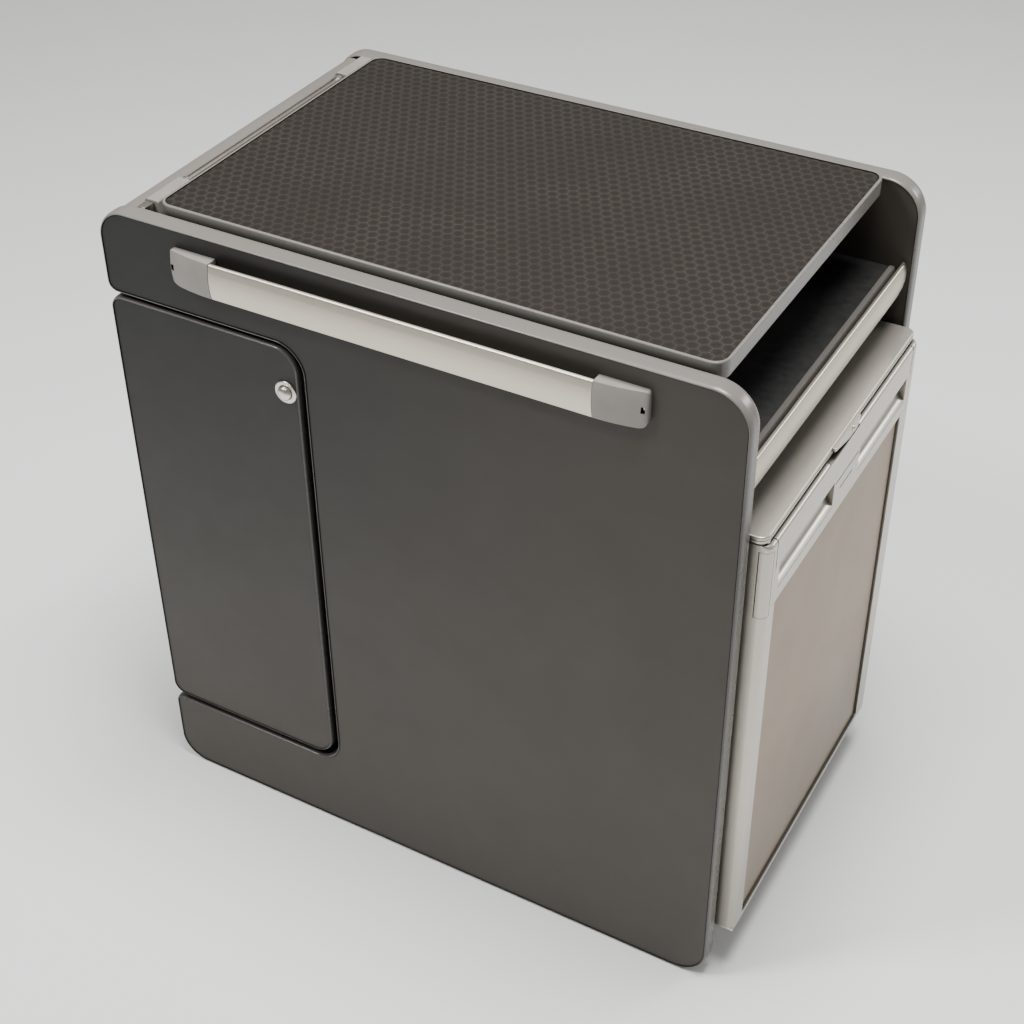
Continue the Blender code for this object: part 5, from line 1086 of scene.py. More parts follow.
def end_rounding(low, high):
    """What is taken off the front rail's lower far corner."""
    radius = FRONT_RAIL_END_RADIUS
    points = [(high.y + OVERRUN, low.z - OVERRUN), (high.y + OVERRUN, low.z + radius)]
    for angle in quarter_round(ARC_STEPS):
        points.append((high.y - radius + radius * math.cos(angle), low.z + radius - radius * math.sin(angle)))
    points.append((high.y - radius, low.z - OVERRUN))
    return prism(points, end_view, low.x - OVERRUN, high.x + OVERRUN)


low, high = span("table_rail")
section = rail_section(high.z - low.z, high.y - low.y, TABLE_RAIL_BULGE)
section = [(high.y - out, low.z + up) for out, up in section]
mesh = prism(section, end_view, low.x, high.x)
piece("table_rail_fine", mesh, rail_aluminium, stands_for="table_rail", bevel=RAIL_EDGE)
low, high = span("front_rail")
section = rail_section(high.z - low.z, high.x - low.x, FRONT_RAIL_BULGE)
section = [(low.x + out, low.z + up) for out, up in section]
mesh = prism(section, side_view, low.y, high.y)
cuts = (end_rounding(low, high),)
piece("front_rail_fine", mesh, cross_aluminium, stands_for="front_rail", bevel=RAIL_EDGE, cuts=cuts)
print("front rail:", [round(size / MM, 1) for size in high - low], "mm")

# %% [markdown]
# The table rail ends in two moulded caps. Each carries the rail's bulge on at the seam and falls away to a
# thin end with rounded corners, so it is lofted through many stations along its length. A small pocket near
# its outer end holds the tongue that locks it on the rail.

# %% Rail caps
CAP_END_DEPTH = 6.5 * MM
CAP_CORNER = 4 * MM
CAP_LOWER_RADIUS = 9 * MM
CAP_UPPER_RADIUS = 3 * MM
CAP_EDGE = 1.1 * MM
CAP_STATIONS = 28
POCKET_PLACE = 4 * MM
POCKET_WIDTH = 3.6 * MM
POCKET_HEIGHT = 6.4 * MM
POCKET_RISE = 16.8 * MM
POCKET_DEPTH = 1.6 * MM
TONGUE_SHARE = 0.45
TONGUE_RISE = 0.5 * MM


def corner_drop(radius, along, length):
    """How far a rounded corner of the cap's outline has dropped at that place along it."""
    over = along - (length - radius)
    if over <= 0:
        return 0
    return radius - math.sqrt(max(radius * radius - over * over, 0))


def cap_ring(along, length, height, depth):
    """The cap's section at one station, as (out, up)."""
    straight = length - CAP_CORNER
    share = min(along / straight, 1)
    over = max(along - straight, 0)
    drawn_in = CAP_CORNER - math.sqrt(max(CAP_CORNER**2 - over**2, 0))
    fall = (depth - TABLE_RAIL_BULGE - CAP_END_DEPTH) * share * share
    low = corner_drop(CAP_LOWER_RADIUS, along, length)
    top = height - corner_drop(CAP_UPPER_RADIUS, along, length)
    points = []
    for step in range(BULGE_STEPS + 1):
        up = low + (top - low) * step / BULGE_STEPS
        across = 2 * up / height - 1
        out = depth - TABLE_RAIL_BULGE * across * across - fall - drawn_in
        points.append((max(out, GAP), up))
    return points + [(0, top), (0, low)]


def rail_cap(name, side):
    """One cap, from its seam to its outer end: side is -1 for the left one and 1 for the right one."""
    low, high = span(name)
    seam = low.x if side > 0 else high.x
    length = high.x - low.x
    depth = high.y - low.y
    height = high.z - low.z
    rings = []
    for step in range(CAP_STATIONS + 1):
        along = length * math.sin(math.pi / 2 * step / CAP_STATIONS)
        points = cap_ring(along, length, height, depth)
        rings.append([(seam + side * along, high.y - out, low.z + up) for out, up in points])
    middle = seam + side * (length - POCKET_PLACE)
    floor = high.y - CAP_END_DEPTH + POCKET_DEPTH
    half = POCKET_WIDTH / 2
    bottom = low.z + POCKET_RISE
    pocket = block((middle - half, low.y - OVERRUN, bottom), (middle + half, floor, bottom + POCKET_HEIGHT))
    piece(name + "_fine", loft(rings), cap_plastic, stands_for=name, bevel=CAP_EDGE, cuts=(pocket,))
    inner = half * TONGUE_SHARE
    rest = POCKET_HEIGHT * (1 - TONGUE_SHARE) / 2
    tongue_low = (middle - inner, floor - POCKET_DEPTH + TONGUE_RISE, bottom + rest)
    tongue_high = (middle + inner, floor, bottom + POCKET_HEIGHT - rest)
    piece(name + "_tongue", block(tongue_low, tongue_high), nickel, slot="nickel", bevel=GAP)


rail_cap("rail_cap_left", -1)
rail_cap("rail_cap_right", 1)
print("rail caps:", [round(value / MM, 1) for value in span("rail_cap_left")[0]], "mm")

# %% [markdown]
# The lid turns on a long aluminium rod between two moulded blocks. Each block has a rounded top and a leg
# that turns down beside the lid, and a pocket where the rod and its clip show. The clip is a bent strip of
# nickel-plated spring steel that sits over the rod.

# %% Lid hinge
BLOCK_EDGE = 2.4 * MM
BLOCK_WALL = 1.6 * MM
BLOCK_LEG = 5.5 * MM
BLOCK_POCKET = 6 * MM
BLOCK_EASE = 0.5 * MM
ROD_END = 0.6 * MM
CLIP_METAL = 1.2 * MM
CLIP_LENGTH = 13 * MM


def lid_rod():
    """The hinge rod, with chamfered ends."""
    low, high = span("hinge_rod")
    radius = (high.x - low.x) / 2
    centre = ((low.x + high.x) / 2, (low.z + high.z) / 2)
    profile = [(radius - ROD_END, low.y), (radius, low.y + ROD_END)]
    profile += [(radius, high.y - ROD_END), (radius - ROD_END, high.y)]
    piece("hinge_rod_fine", turned(profile, centre, side_view), cross_aluminium, stands_for="hinge_rod")
    return centre, radius


def hinge_block(name, mouth_at_start, centre, radius):
    """A moulded block with its bore and its pocket, and the clip in the pocket."""
    low, high = span(name)
    corners = [(low.x, low.z, 0), (high.x, low.z, 0)]
    corners += [(high.x, high.z, BLOCK_EDGE), (low.x, high.z, BLOCK_EDGE)]
    body = prism(rounded(corners), side_view, low.y, high.y)
    bore_radius = radius + GAP
    bore = turned([(bore_radius, low.y - OVERRUN), (bore_radius, high.y + OVERRUN)], centre, side_view)
    mouth = low.y if mouth_at_start else high.y
    top = high.z - BLOCK_LEG / 2
    left = low.x + BLOCK_WALL
    right = high.x - BLOCK_LEG
    pocket = block((left, mouth - BLOCK_POCKET, low.z - OVERRUN), (right, mouth + BLOCK_POCKET, top))
    piece(name + "_fine", body, cap_plastic, stands_for=name, bevel=BLOCK_EASE, cuts=(bore, pocket))
    outward = -1 if mouth_at_start else 1
    start = mouth + outward * GAP
    end = mouth + outward * CLIP_LENGTH
    inside = radius + GAP
    outside = inside + CLIP_METAL
    top = centre[1] + inside
    points = [(-outside, low.z), (-inside, low.z), (-inside, top), (inside, top), (inside, low.z)]
    points += [(outside, low.z), (outside, top + CLIP_METAL), (-outside, top + CLIP_METAL)]
    points = [(centre[0] + across, up) for across, up in points]
    mesh = prism(points, side_view, min(start, end), max(start, end))
    piece(name + "_clip", mesh, nickel, slot="nickel", bevel=GAP)


rod_centre, rod_radius = lid_rod()
hinge_block("hinge_block_near", True, rod_centre, rod_radius)
hinge_block("hinge_block_far", False, rod_centre, rod_radius)
print("hinge rod radius:", round(rod_radius / MM, 2), "mm")

# %% [markdown]
# The fridge's top plate is a moulded tray turned upside down. Its rounded front edge catches a bright line,
# and a shallow groove runs round it below that line. Under it lies a dark strip that stands back a little:
# painted shade, which draws a dark line over the door. Its pin goes down into the door, which turns on it.

# %% Fridge top plate
PLATE_RADIUS = 9 * MM
PLATE_EDGE = 1.8 * MM
SHADE_STRIP_INSET = 1.4 * MM
PLATE_FOOT_HEIGHT = 3.2 * MM
PLATE_GROOVE = 0.6 * MM
PLATE_GROOVE_HEIGHT = 0.7 * MM
PLATE_GROOVE_SHARE = 0.58
PIN_RADIUS = 3 * MM
PIN_PLACE = 7.5 * MM
PIN_SIDE = 7 * MM
PIN_LENGTH = 12 * MM
door_low, door_high = span("fridge_door_shell")
pin_centre = (door_high.x - PIN_PLACE, door_low.y + PIN_SIDE)


def top_plate():
    """The plate with its rounded edge and groove, the dark strip of painted shade under it and the door's
    upper pin.
    """
    low, high = span("fridge_top_plate")
    bottom = door_high.z + GAP
    corners = rectangle(low.x, high.x, low.y, high.y, PLATE_RADIUS)
    corners[0] = (low.x, low.y, 0)
    corners[3] = (low.x, high.y, 0)
    foot = bottom + PLATE_FOOT_HEIGHT
    # Painted shade: a dark strip under the plate draws the dark line over the door
    shade_strip = layered(corners, [(bottom, SHADE_STRIP_INSET), (foot - GAP, SHADE_STRIP_INSET)], plan_view)
    piece("fridge_top_plate_strip", shade_strip, dark_rubber, slot="dark_rubber", bevel=GAP)
    groove = bottom + (high.z - bottom) * PLATE_GROOVE_SHARE
    layers = [(foot, 0), (groove, 0), (groove, PLATE_GROOVE)]
    layers += [(groove + PLATE_GROOVE_HEIGHT, PLATE_GROOVE), (groove + PLATE_GROOVE_HEIGHT, 0)]
    for angle in quarter_round(SECTION_STEPS):
        rise = high.z - PLATE_EDGE * (1 - math.sin(angle))
        layers.append((rise, PLATE_EDGE * (1 - math.cos(angle))))
    pin = turned([(PIN_RADIUS, door_high.z - PIN_LENGTH), (PIN_RADIUS, foot + GAP)], pin_centre, plan_view)
    mesh = layered(corners, layers, plan_view)
    piece("fridge_top_plate_fine", mesh, silver_paint, stands_for="fridge_top_plate", joins=(pin,))


top_plate()

# %% [markdown]
# The fridge door is foam between a moulded frame and a white lining. The frame's front edges are rounded and
# its top edge rolls back. Into it go the fascia with the finger scoops, the decor panel with a dark seal of
# painted shade round it and a thin cover over the hinge. Each is a piece of its own, with an open seam round
# it.

# %% Fridge door frame
DOOR_EDGE_RADIUS = 8 * MM
DOOR_ROLL = 4.5 * MM
DOOR_EASE = 0.25 * MM
DECOR_RADIUS = 4 * MM
DECOR_RECESS_DEPTH = 5.3 * MM
COVER_THICKNESS = 1.5 * MM
COVER_SEAM = 0.7 * MM
ROLL_STEPS = 10
fascia_low, fascia_high = span("fridge_fascia")
cover_low, cover_high = span("fridge_hinge_cover")
seal_low, seal_high = span("fridge_decor_seal")


def door_body():
    """The rounded frame, with its top edge rolled back."""
    layers = [(door_low.z, door_high.x)]
    for angle in quarter_round(ROLL_STEPS):
        front = door_high.x - DOOR_ROLL * (1 - math.cos(angle))
        layers.append((door_high.z - DOOR_ROLL * (1 - math.sin(angle)), front))
    rings = []
    for height, front in layers:
        corners = [(door_low.x, door_low.y, 0), (front, door_low.y, DOOR_EDGE_RADIUS)]
        corners += [(front, door_high.y, DOOR_EDGE_RADIUS), (door_low.x, door_high.y, 0)]
        rings.append([plan_view(u, v, height) for u, v in rounded(corners)])
    return loft(rings)


def cover_plan(thickness, slack):
    """The hinge cover's section in plan: it wraps the door's near front edge."""
    centre_x = door_high.x - DOOR_EDGE_RADIUS
    centre_y = door_low.y + DOOR_EDGE_RADIUS
    back = cover_low.x - slack
    outer = [(back, door_low.y)]
    inner = [(back, door_low.y + thickness)]
    for angle in quarter_round(ARC_STEPS):
        for points, radius in ((outer, DOOR_EDGE_RADIUS), (inner, DOOR_EDGE_RADIUS - thickness)):
            points.append((centre_x + radius * math.sin(angle), centre_y - radius * math.cos(angle)))
    if slack:
        outer = [(back, door_low.y - OVERRUN), (door_high.x + OVERRUN, door_low.y - OVERRUN)]
        outer.append((door_high.x + OVERRUN, centre_y + slack))
        inner.append((centre_x + DOOR_EDGE_RADIUS - thickness, centre_y + slack))
    return outer + list(reversed(inner))


def door_frame():
    """The door's frame, with the places for its fascia, decor panel, hinge cover and pins."""
    over = door_high + Vector((OVERRUN, OVERRUN, OVERRUN))
    near = fascia_low.y - GAP
    far = fascia_high.y + GAP
    bottom = fascia_low.z - GAP
    cuts = [block((fascia_low.x - GAP, near, bottom), (over.x, far, over.z))]
    corners = rectangle(seal_low.y - GAP, seal_high.y + GAP, seal_low.z - GAP, bottom + GAP, DECOR_RADIUS)
    recess = [(door_high.x - DECOR_RECESS_DEPTH, 0), (over.x, 0)]
    cuts.append(layered(corners, recess, end_view))
    plan = cover_plan(COVER_THICKNESS + GAP, COVER_SEAM)
    cuts.append(prism(plan, plan_view, cover_low.z - GAP, cover_high.z + GAP))
    bore = PIN_RADIUS + GAP
    lower = (door_low.z - OVERRUN, door_low.z + PIN_LENGTH)
    upper = (door_high.z - PIN_LENGTH - GAP, over.z)
    for start, end in (lower, upper):
        cuts.append(turned([(bore, start), (bore, end)], pin_centre, plan_view))
    values = {"body": "fridge_door", "bevel": DOOR_EASE}
    name = "fridge_door_shell"
    piece(name + "_fine", door_body(), silver_paint, stands_for=name, cuts=cuts, **values)
    mesh = prism(cover_plan(COVER_THICKNESS, 0), plan_view, cover_low.z, cover_high.z)
    name = "fridge_hinge_cover"
    piece(name + "_fine", mesh, silver_paint, stands_for=name, **values)


door_frame()
print("door frame faces:", len(pieces["fridge_door_shell_fine"].data.polygons))

# %% [markdown]
# The fascia carries two finger scoops: each slants inwards from its upper edge and ends on a sloping floor,
# so that fingers hook in behind its lower lip, under which a fine line runs. Two narrow slits lie between
# them, and the latch tab sits in a pocket over them. All are Boolean cuts, and a bevel rolls their rims.

# %% Fascia, scoops and latch
SCOOP_SIDE = 25 * MM
SCOOP_LENGTH = 132 * MM
SCOOP_DROP = 33 * MM
SCOOP_HEIGHT = 27 * MM
SCOOP_DEPTH = 12 * MM
SCOOP_FLOOR_RISE = 7 * MM
SCOOP_LINE = 1.0 * MM
SEAM_END = 33 * MM
FASCIA_SEAM = 1.1 * MM
SCOOP_ROUND = 12 * MM
SLIT_HEIGHT = 1.7 * MM
SLIT_DEPTH = 7 * MM
UPPER_SLIT_RISE = 22 * MM
UPPER_SLIT_LENGTH = 60 * MM
LOWER_SLIT_RISE = 9 * MM
LOWER_SLIT_LENGTH = 33 * MM
LATCH_POCKET_DEPTH = 6.5 * MM
LATCH_ROUND = 7 * MM
LATCH_BELLY_SHARE = 0.62
LATCH_NOSE_SHARE = 0.3
LATCH_NEAR_ROOM = 11 * MM
LATCH_FACE = 0.7 * MM
FASCIA_EASE = 0.45 * MM
KEY_RADIUS = 4 * MM
KEY_BORE = 2.2 * MM
KEY_RISE_SHARE = 0.56
KEY_PLACE_SHARE = 0.74
latch_low, latch_high = span("fridge_latch")


def finger_scoop(near):
    """The shape of one scoop: its section from the side, carried along the door."""
    front = door_high.x
    top = fascia_high.z + GAP - SCOOP_DROP
    bottom = top - SCOOP_HEIGHT
    back = front - SCOOP_DEPTH
    corners = [(front + OVERRUN, bottom, 0), (front + OVERRUN, top, 0), (front, top, 0)]
    corners += [(back, bottom + SCOOP_FLOOR_RISE, SCOOP_ROUND), (front, bottom, 0)]
    return prism(rounded(corners), side_view, near, near + SCOOP_LENGTH)


def fascia():
    """The fascia with its scoops, slits and latch pocket."""
    corners = [(fascia_low.x, fascia_low.z, 0), (fascia_high.x, fascia_low.z, 0)]
    corners += [(fascia_high.x, fascia_high.z, DOOR_ROLL), (fascia_low.x, fascia_high.z, 0)]
    mesh = prism(rounded(corners), side_view, fascia_low.y, fascia_high.y)
    scoop_starts = (door_low.y + SCOOP_SIDE, door_high.y - SCOOP_SIDE - SCOOP_LENGTH)
    cuts = [finger_scoop(near) for near in scoop_starts]
    middle = (door_low.y + door_high.y) / 2
    bottom = fascia_high.z + GAP - SCOOP_DROP - SCOOP_HEIGHT
    for rise, length in ((UPPER_SLIT_RISE, UPPER_SLIT_LENGTH), (LOWER_SLIT_RISE, LOWER_SLIT_LENGTH)):
        low = (door_high.x - SLIT_DEPTH, middle - length / 2, bottom + rise)
        high = (door_high.x + OVERRUN, middle + length / 2, bottom + rise + SLIT_HEIGHT)
        cuts.append(block(low, high))
    for near in scoop_starts:
        low = (door_high.x - SLIT_DEPTH, near, bottom - 2 * SCOOP_LINE)
        cuts.append(block(low, (door_high.x + OVERRUN, near + SCOOP_LENGTH, bottom - SCOOP_LINE)))
    for seam in (fascia_low.y, fascia_high.y):
        low = (fascia_low.x - OVERRUN, seam - FASCIA_SEAM, fascia_high.z - SEAM_END)
        cuts.append(block(low, (door_high.x + OVERRUN, seam + FASCIA_SEAM, fascia_high.z + OVERRUN)))
    low = (door_high.x - LATCH_POCKET_DEPTH, latch_low.y - LATCH_NEAR_ROOM, latch_low.z - 2 * GAP)
    cuts.append(block(low, (door_high.x + OVERRUN, latch_high.y + GAP, door_high.z + OVERRUN)))
    name = "fridge_fascia"
    piece(name + "_fine", mesh, silver_paint, "fridge_door", stands_for=name, bevel=FASCIA_EASE, cuts=cuts)


def latch():
    """The leaf-shaped tab that frees the door, with a small round lock in it."""
    length = latch_high.y - latch_low.y
    height = latch_high.z - latch_low.z
    belly = latch_low.y + length * LATCH_BELLY_SHARE
    nose = latch_high.z - height * LATCH_NOSE_SHARE
    corners = [(latch_low.y, nose, GAP), (belly, latch_low.z, LATCH_ROUND)]
    corners += [(latch_high.y, latch_low.z, LATCH_ROUND), (latch_high.y, latch_high.z, GAP)]
    corners.append((latch_low.y, latch_high.z, GAP))
    front = latch_high.x - LATCH_FACE
    mesh = prism(rounded(corners), end_view, latch_low.x, front)
    values = {"body": "fridge_latch", "bevel": FASCIA_EASE}
    piece("fridge_latch_fine", mesh, silver_paint, stands_for="fridge_latch", **values)
    centre = (latch_low.y + length * KEY_PLACE_SHARE, latch_low.z + height * KEY_RISE_SHARE)
    section = [(KEY_BORE, front - GAP), (KEY_RADIUS, front - GAP)]
    section += [(KEY_RADIUS, latch_high.x), (KEY_BORE, latch_high.x)]
    ring = turned(section, centre, end_view, closed=True)
    piece("fridge_latch_key_ring", ring, nickel, "fridge_latch", slot="nickel", bevel=GAP)
    core = turned([(KEY_BORE, front - GAP), (KEY_BORE, front + GAP)], centre, end_view)
    piece("fridge_latch_key_core", core, black_plastic, "fridge_latch", slot="black_plastic")


fascia()
latch()

# %% [markdown]
# The decor panel is a lacquered sheet that lies in the frame. Round it goes a dark seal that stands for the
# shade in the gap round the panel: painted shade. The seal is a sweep again, this time round a rounded
# rectangle as seen from the end.

# %% Decor panel and its seal
DECOR_SEAL_WIDTH = 2.6 * MM
DECOR_SEAL_ROUND = 0.5 * MM
PANEL_EASE = 0.3 * MM
decor_corners = rectangle(seal_low.y, seal_high.y, seal_low.z, seal_high.z, DECOR_RADIUS)
section = rounded(rectangle(-DECOR_SEAL_WIDTH, 0, 0, seal_high.x - seal_low.x, DECOR_SEAL_ROUND))
# Painted shade: the dark seal stands for the shade in the gap round the decor panel
mesh = sweep(rounded(decor_corners), section, end_view, seal_low.x, dark_rubber)
piece("fridge_decor_seal_fine", mesh, dark_rubber, "fridge_door", stands_for="fridge_decor_seal")
panel_low, panel_high = span("fridge_decor_panel")
inset = panel_low.y - seal_low.y
mesh = layered(decor_corners, [(panel_low.x, inset), (panel_high.x, inset)], end_view)
name = "fridge_decor_panel"
piece(name + "_fine", mesh, decor_sheet, "fridge_door", stands_for=name, bevel=PANEL_EASE)
print("decor panel:", [round(size / MM, 1) for size in panel_high - panel_low], "mm")

# %% [markdown]
# Many small shapes repeat: flame ports round the burner, holes in the strainer, wires in the fridge's shelf
# and screws. One node tree puts a copy on each point of a ring, another on each point of a row, and a third
# on drawn points, where a fixed seed turns every screw's slot another way.

# %% Repeats, as node trees


def put_copies(tree, points, given, **feeds):
    """A copy of the given shape on every point."""
    shape = add_node(tree, "GeometryNodeObjectInfo", {"Object": given["Shape"]}).outputs["Geometry"]
    feeds.update({"Points": points, "Instance": shape})
    return add_node(tree, "GeometryNodeInstanceOnPoints", feeds).outputs["Instances"]


def make_ring_tree():
    """A tree that repeats a shape round a ring, each copy turned outwards."""
    inputs = {"Count": "Int", "Radius": "Float", "Shape": "Object", "Finish": "Material"}
    tree, given = start_tree("repeat_round_ring", **inputs)
    feeds = {"Vertices": given["Count"], "Radius": given["Radius"]}
    ring = add_node(tree, "GeometryNodeMeshCircle", feeds).outputs["Mesh"]
    place = add_node(tree, "GeometryNodeInputPosition").outputs["Position"]
    turn = add_node(tree, "FunctionNodeAlignRotationToVector", {"Vector": place}, axis="X").outputs[0]
    return end_tree(tree, put_copies(tree, ring, given, Rotation=turn), given["Finish"])


def make_row_tree():
    """A tree that repeats a shape along a row."""
    inputs = {"Count": "Int", "Step": "Vector", "Shape": "Object", "Finish": "Material"}
    tree, given = start_tree("repeat_in_row", **inputs)
    feeds = {"Count": given["Count"], "Offset": given["Step"]}
    row = add_node(tree, "GeometryNodeMeshLine", feeds).outputs["Mesh"]
    return end_tree(tree, put_copies(tree, row, given), given["Finish"])


def make_screw_tree():
    """A tree that puts a screw on every drawn point, its slot turned at random with a fixed seed."""
    inputs = {"Facing": "Vector", "Seed": "Int", "Shape": "Object", "Finish": "Material"}
    tree, given = start_tree("screws_on_points", **inputs)
    copies = put_copies(tree, given["Geometry"], given, Rotation=given["Facing"])
    feeds = {"Min": (0, 0, 0), "Max": (0, 0, math.pi), "Seed": given["Seed"]}
    slot = add_node(tree, "FunctionNodeRandomValue", feeds, data_type="FLOAT_VECTOR").outputs["Value"]
    feeds = {"Instances": copies, "Rotation": slot}
    turned_copies = add_node(tree, "GeometryNodeRotateInstances", feeds).outputs["Instances"]
    return end_tree(tree, turned_copies, given["Finish"])


ring_tree = make_ring_tree()
row_tree = make_row_tree()
screw_tree = make_screw_tree()


def repeat(tree, shape, shift, points=((0, 0, 0),), **values):
    """Run one of the trees with a shape made here, and move the result."""
    data = bpy.data.meshes.new("shape")
    shape.to_mesh(data)
    shape.free()
    holder = add_object("shape", data)
    mesh = run_tree(tree, points, [], Shape=holder, **values)
    clear_away(holder)
    bmesh.ops.translate(mesh, vec=shift, verts=mesh.verts)
    return mesh


# %% [markdown]
# The hob tray and the sink are pressed from one sheet of steel each: a flange on the worktop, a rolled rim,
# slightly leaning walls and a floor that curves into them. Both come from one function.

# %% Pressed bowls
STEEL = 1.5 * MM
FLANGE = 15 * MM
BOWL_TAPER = 5 * MM
TRAY_RADIUS = 14 * MM
SINK_RADIUS = 32 * MM
BOWL_CORNER = 6 * MM
RIM_ROLL = 2 * MM
TRAY_FILLET = 3 * MM
SINK_FILLET = 9 * MM
BOWL_STEPS = 8
WASTE_STEM = 17 * MM
waste_low, waste_high = span("sink_waste")
waste_centre = ((waste_low.x + waste_high.x) / 2, (waste_low.y + waste_high.y) / 2)


def fillet_layers(across, height, radius, way=1):
    """A quarter round as layers (height, inset): down to across, or up from it where the way is -1."""
    return [
        (height + way * radius * (1 - math.cos(angle)), across + way * radius * (1 - math.sin(angle)))
        for angle in quarter_round(BOWL_STEPS)[::way]
    ]


def pressed_bowl(name, radius, fillet, cuts=()):
    """A bowl with its flange, rolled rim and curved floor."""
    low, high = span(name)
    top = high.z
    floor = low.z + STEEL
    inner = FLANGE + STEEL
    layers = fillet_layers(inner + BOWL_TAPER, floor, fillet)
    layers += fillet_layers(inner, top, RIM_ROLL, way=-1)
    layers += [(top, GAP), (top - GAP, 0), (top - STEEL, 0), (top - STEEL, FLANGE)]
    layers += reversed(fillet_layers(FLANGE + BOWL_TAPER, low.z, fillet))
    rings = []
    for depth, inset in layers:
        corner = max(radius - inset, BOWL_CORNER)
        corners = rectangle(low.x + inset, high.x - inset, low.y + inset, high.y - inset, corner)
        rings.append([plan_view(u, v, depth) for u, v in rounded(corners)])
    piece(name + "_fine", loft(rings), stainless, stands_for=name, cuts=cuts)


pressed_bowl("hob_tray", TRAY_RADIUS, TRAY_FILLET)
hole_radius = WASTE_STEM + GAP
hole = turned([(hole_radius, waste_low.z), (hole_radius, waste_high.z + OVERRUN)], waste_centre, plan_view)
pressed_bowl("sink_bowl", SINK_RADIUS, SINK_FILLET, cuts=(hole,))
print("sink:", [round(size / MM, 1) for size in span("sink_bowl")[1] - span("sink_bowl")[0]], "mm")

# %% [markdown]
# The burner is a cast ring with flame ports round its head and an enamelled cap on top. The pan support is
# bent square bar under thick enamel, and the knob has a grip across it with a white pointer.

# %% Hob fittings
FOOT_HEIGHT = 4 * MM
HEAD_RADIUS = 26 * MM
HEAD_HEIGHT = 12 * MM
CAP_TOP_RADIUS = 21 * MM
PORTS = 30
PORT_SIZE = 1.6 * MM
PORT_HEIGHT = 3.4 * MM
PORT_RISE = 8.4 * MM
BURNER_EDGE = 0.8 * MM
SUPPORT_BAR = 5 * MM
SUPPORT_FINGER = 34 * MM
SUPPORT_RADIUS = 9 * MM
SUPPORT_EDGE = 1.4 * MM
KNOB_BASE = 6 * MM
KNOB_GRIP_SHARE = 0.32
KNOB_EDGE = 0.9 * MM
POINTER_LENGTH = 6 * MM
POINTER_WIDTH = 1.2 * MM
burner_low, burner_high = span("hob_burner")
burner_centre = ((burner_low.x + burner_high.x) / 2, (burner_low.y + burner_high.y) / 2)


def burner():
    """The cast foot and head with its ports, and the cap that lies on the head."""
    seat = burner_low.z
    foot_radius = (burner_high.x - burner_low.x) / 2
    head = seat + HEAD_HEIGHT
    section = [(foot_radius, seat, 0), (foot_radius, seat + FOOT_HEIGHT, 2 * BURNER_EDGE)]
    wall = HEAD_RADIUS - BURNER_EDGE
    section += [(wall, seat + FOOT_HEIGHT, BURNER_EDGE), (wall, head, 0)]
    section += [(GAP, head, 0), (GAP, seat, 0)]
    casting = turned(rounded(section, steps=SECTION_STEPS)[:-2], burner_centre, plan_view)
    half = PORT_SIZE / 2
    cutter = block((-3 * half, -half, 0), (3 * half, half, PORT_HEIGHT))
    shift = Vector((*burner_centre, seat + PORT_RISE))
    values = {"Count": PORTS, "Radius": wall, "Finish": zinc_plate}
    ports = repeat(ring_tree, cutter, shift, **values)
    piece("hob_burner_head", casting, zinc_plate, slot="aluminium", cuts=(ports,))
    section = [(HEAD_RADIUS, head + GAP, BURNER_EDGE), (CAP_TOP_RADIUS, burner_high.z, 2 * BURNER_EDGE)]
    section = [(GAP, head + GAP, 0)] + section + [(GAP, burner_high.z, 0)]
    cap = turned(rounded(section, steps=SECTION_STEPS)[1:-1], burner_centre, plan_view)
    piece("hob_burner_cap", cap, enamel, stands_for="hob_burner")


def pan_support():
    """The frame of square bar with four fingers, each on its own leg."""
    low, high = span("pan_support")
    corners = rectangle(low.x, high.x, low.y, high.y, SUPPORT_RADIUS)
    bottom = high.z - SUPPORT_BAR
    layers = [(bottom, 0), (high.z, 0), (high.z, SUPPORT_BAR), (bottom, SUPPORT_BAR)]
    half = (high.x - low.x) / 2
    thick = SUPPORT_BAR / 2
    centre = ((low.x + high.x) / 2, (low.y + high.y) / 2)
    far = half - thick
    joins = []
    for way_x, way_y in ((1, 0), (-1, 0), (0, 1), (0, -1)):
        for near, under in ((far - SUPPORT_FINGER, bottom), (far - SUPPORT_BAR, low.z)):
            ends = [(centre[0] + way_x * reach, centre[1] + way_y * reach) for reach in (near, far)]
            side_x = 0 if way_x else thick
            side_y = thick if way_x else 0
            corner = (min(end[0] for end in ends) - side_x, min(end[1] for end in ends) - side_y, under)
            other = (max(end[0] for end in ends) + side_x, max(end[1] for end in ends) + side_y, high.z)
            joins.append(block(corner, other))
    mesh = layered(corners, layers, plan_view, closed=True)
    piece("pan_support_fine", mesh, enamel, stands_for="pan_support", bevel=SUPPORT_EDGE, joins=joins)


def knob():
    """The knob's disc, its grip and the pointer on the grip."""
    low, high = span("hob_knob")
    centre = ((low.x + high.x) / 2, (low.y + high.y) / 2)
    radius = (high.x - low.x) / 2
    disc = turned([(radius, low.z), (radius, low.z + KNOB_BASE)], centre, plan_view)
    half = radius * KNOB_GRIP_SHARE
    corners = rectangle(centre[0] - half, centre[0] + half, low.y + GAP, high.y - GAP, half / 2)
    grip = layered(corners, [(low.z + GAP, 0), (high.z, 0)], plan_view)
    values = {"body": "hob_knob", "stands_for": "hob_knob", "bevel": KNOB_EDGE}
    piece("hob_knob_fine", disc, black_plastic, joins=(grip,), **values)
    side = POINTER_WIDTH / 2
    start = (centre[0] - side, low.y + 2 * KNOB_EDGE, high.z - GAP)
    end = (centre[0] + side, low.y + 2 * KNOB_EDGE + POINTER_LENGTH, high.z)
    piece("hob_knob_pointer", block(start, end), fridge_white, "hob_knob", slot="fridge_white")


burner()
pan_support()
knob()
print("flame ports:", PORTS)

# %% [markdown]
# The waste is a turned flange with a strainer of drilled holes. The tap is nickel plated: a stepped base, and
# over it a spout whose arm is a rounded bar with an aerator at its tip.

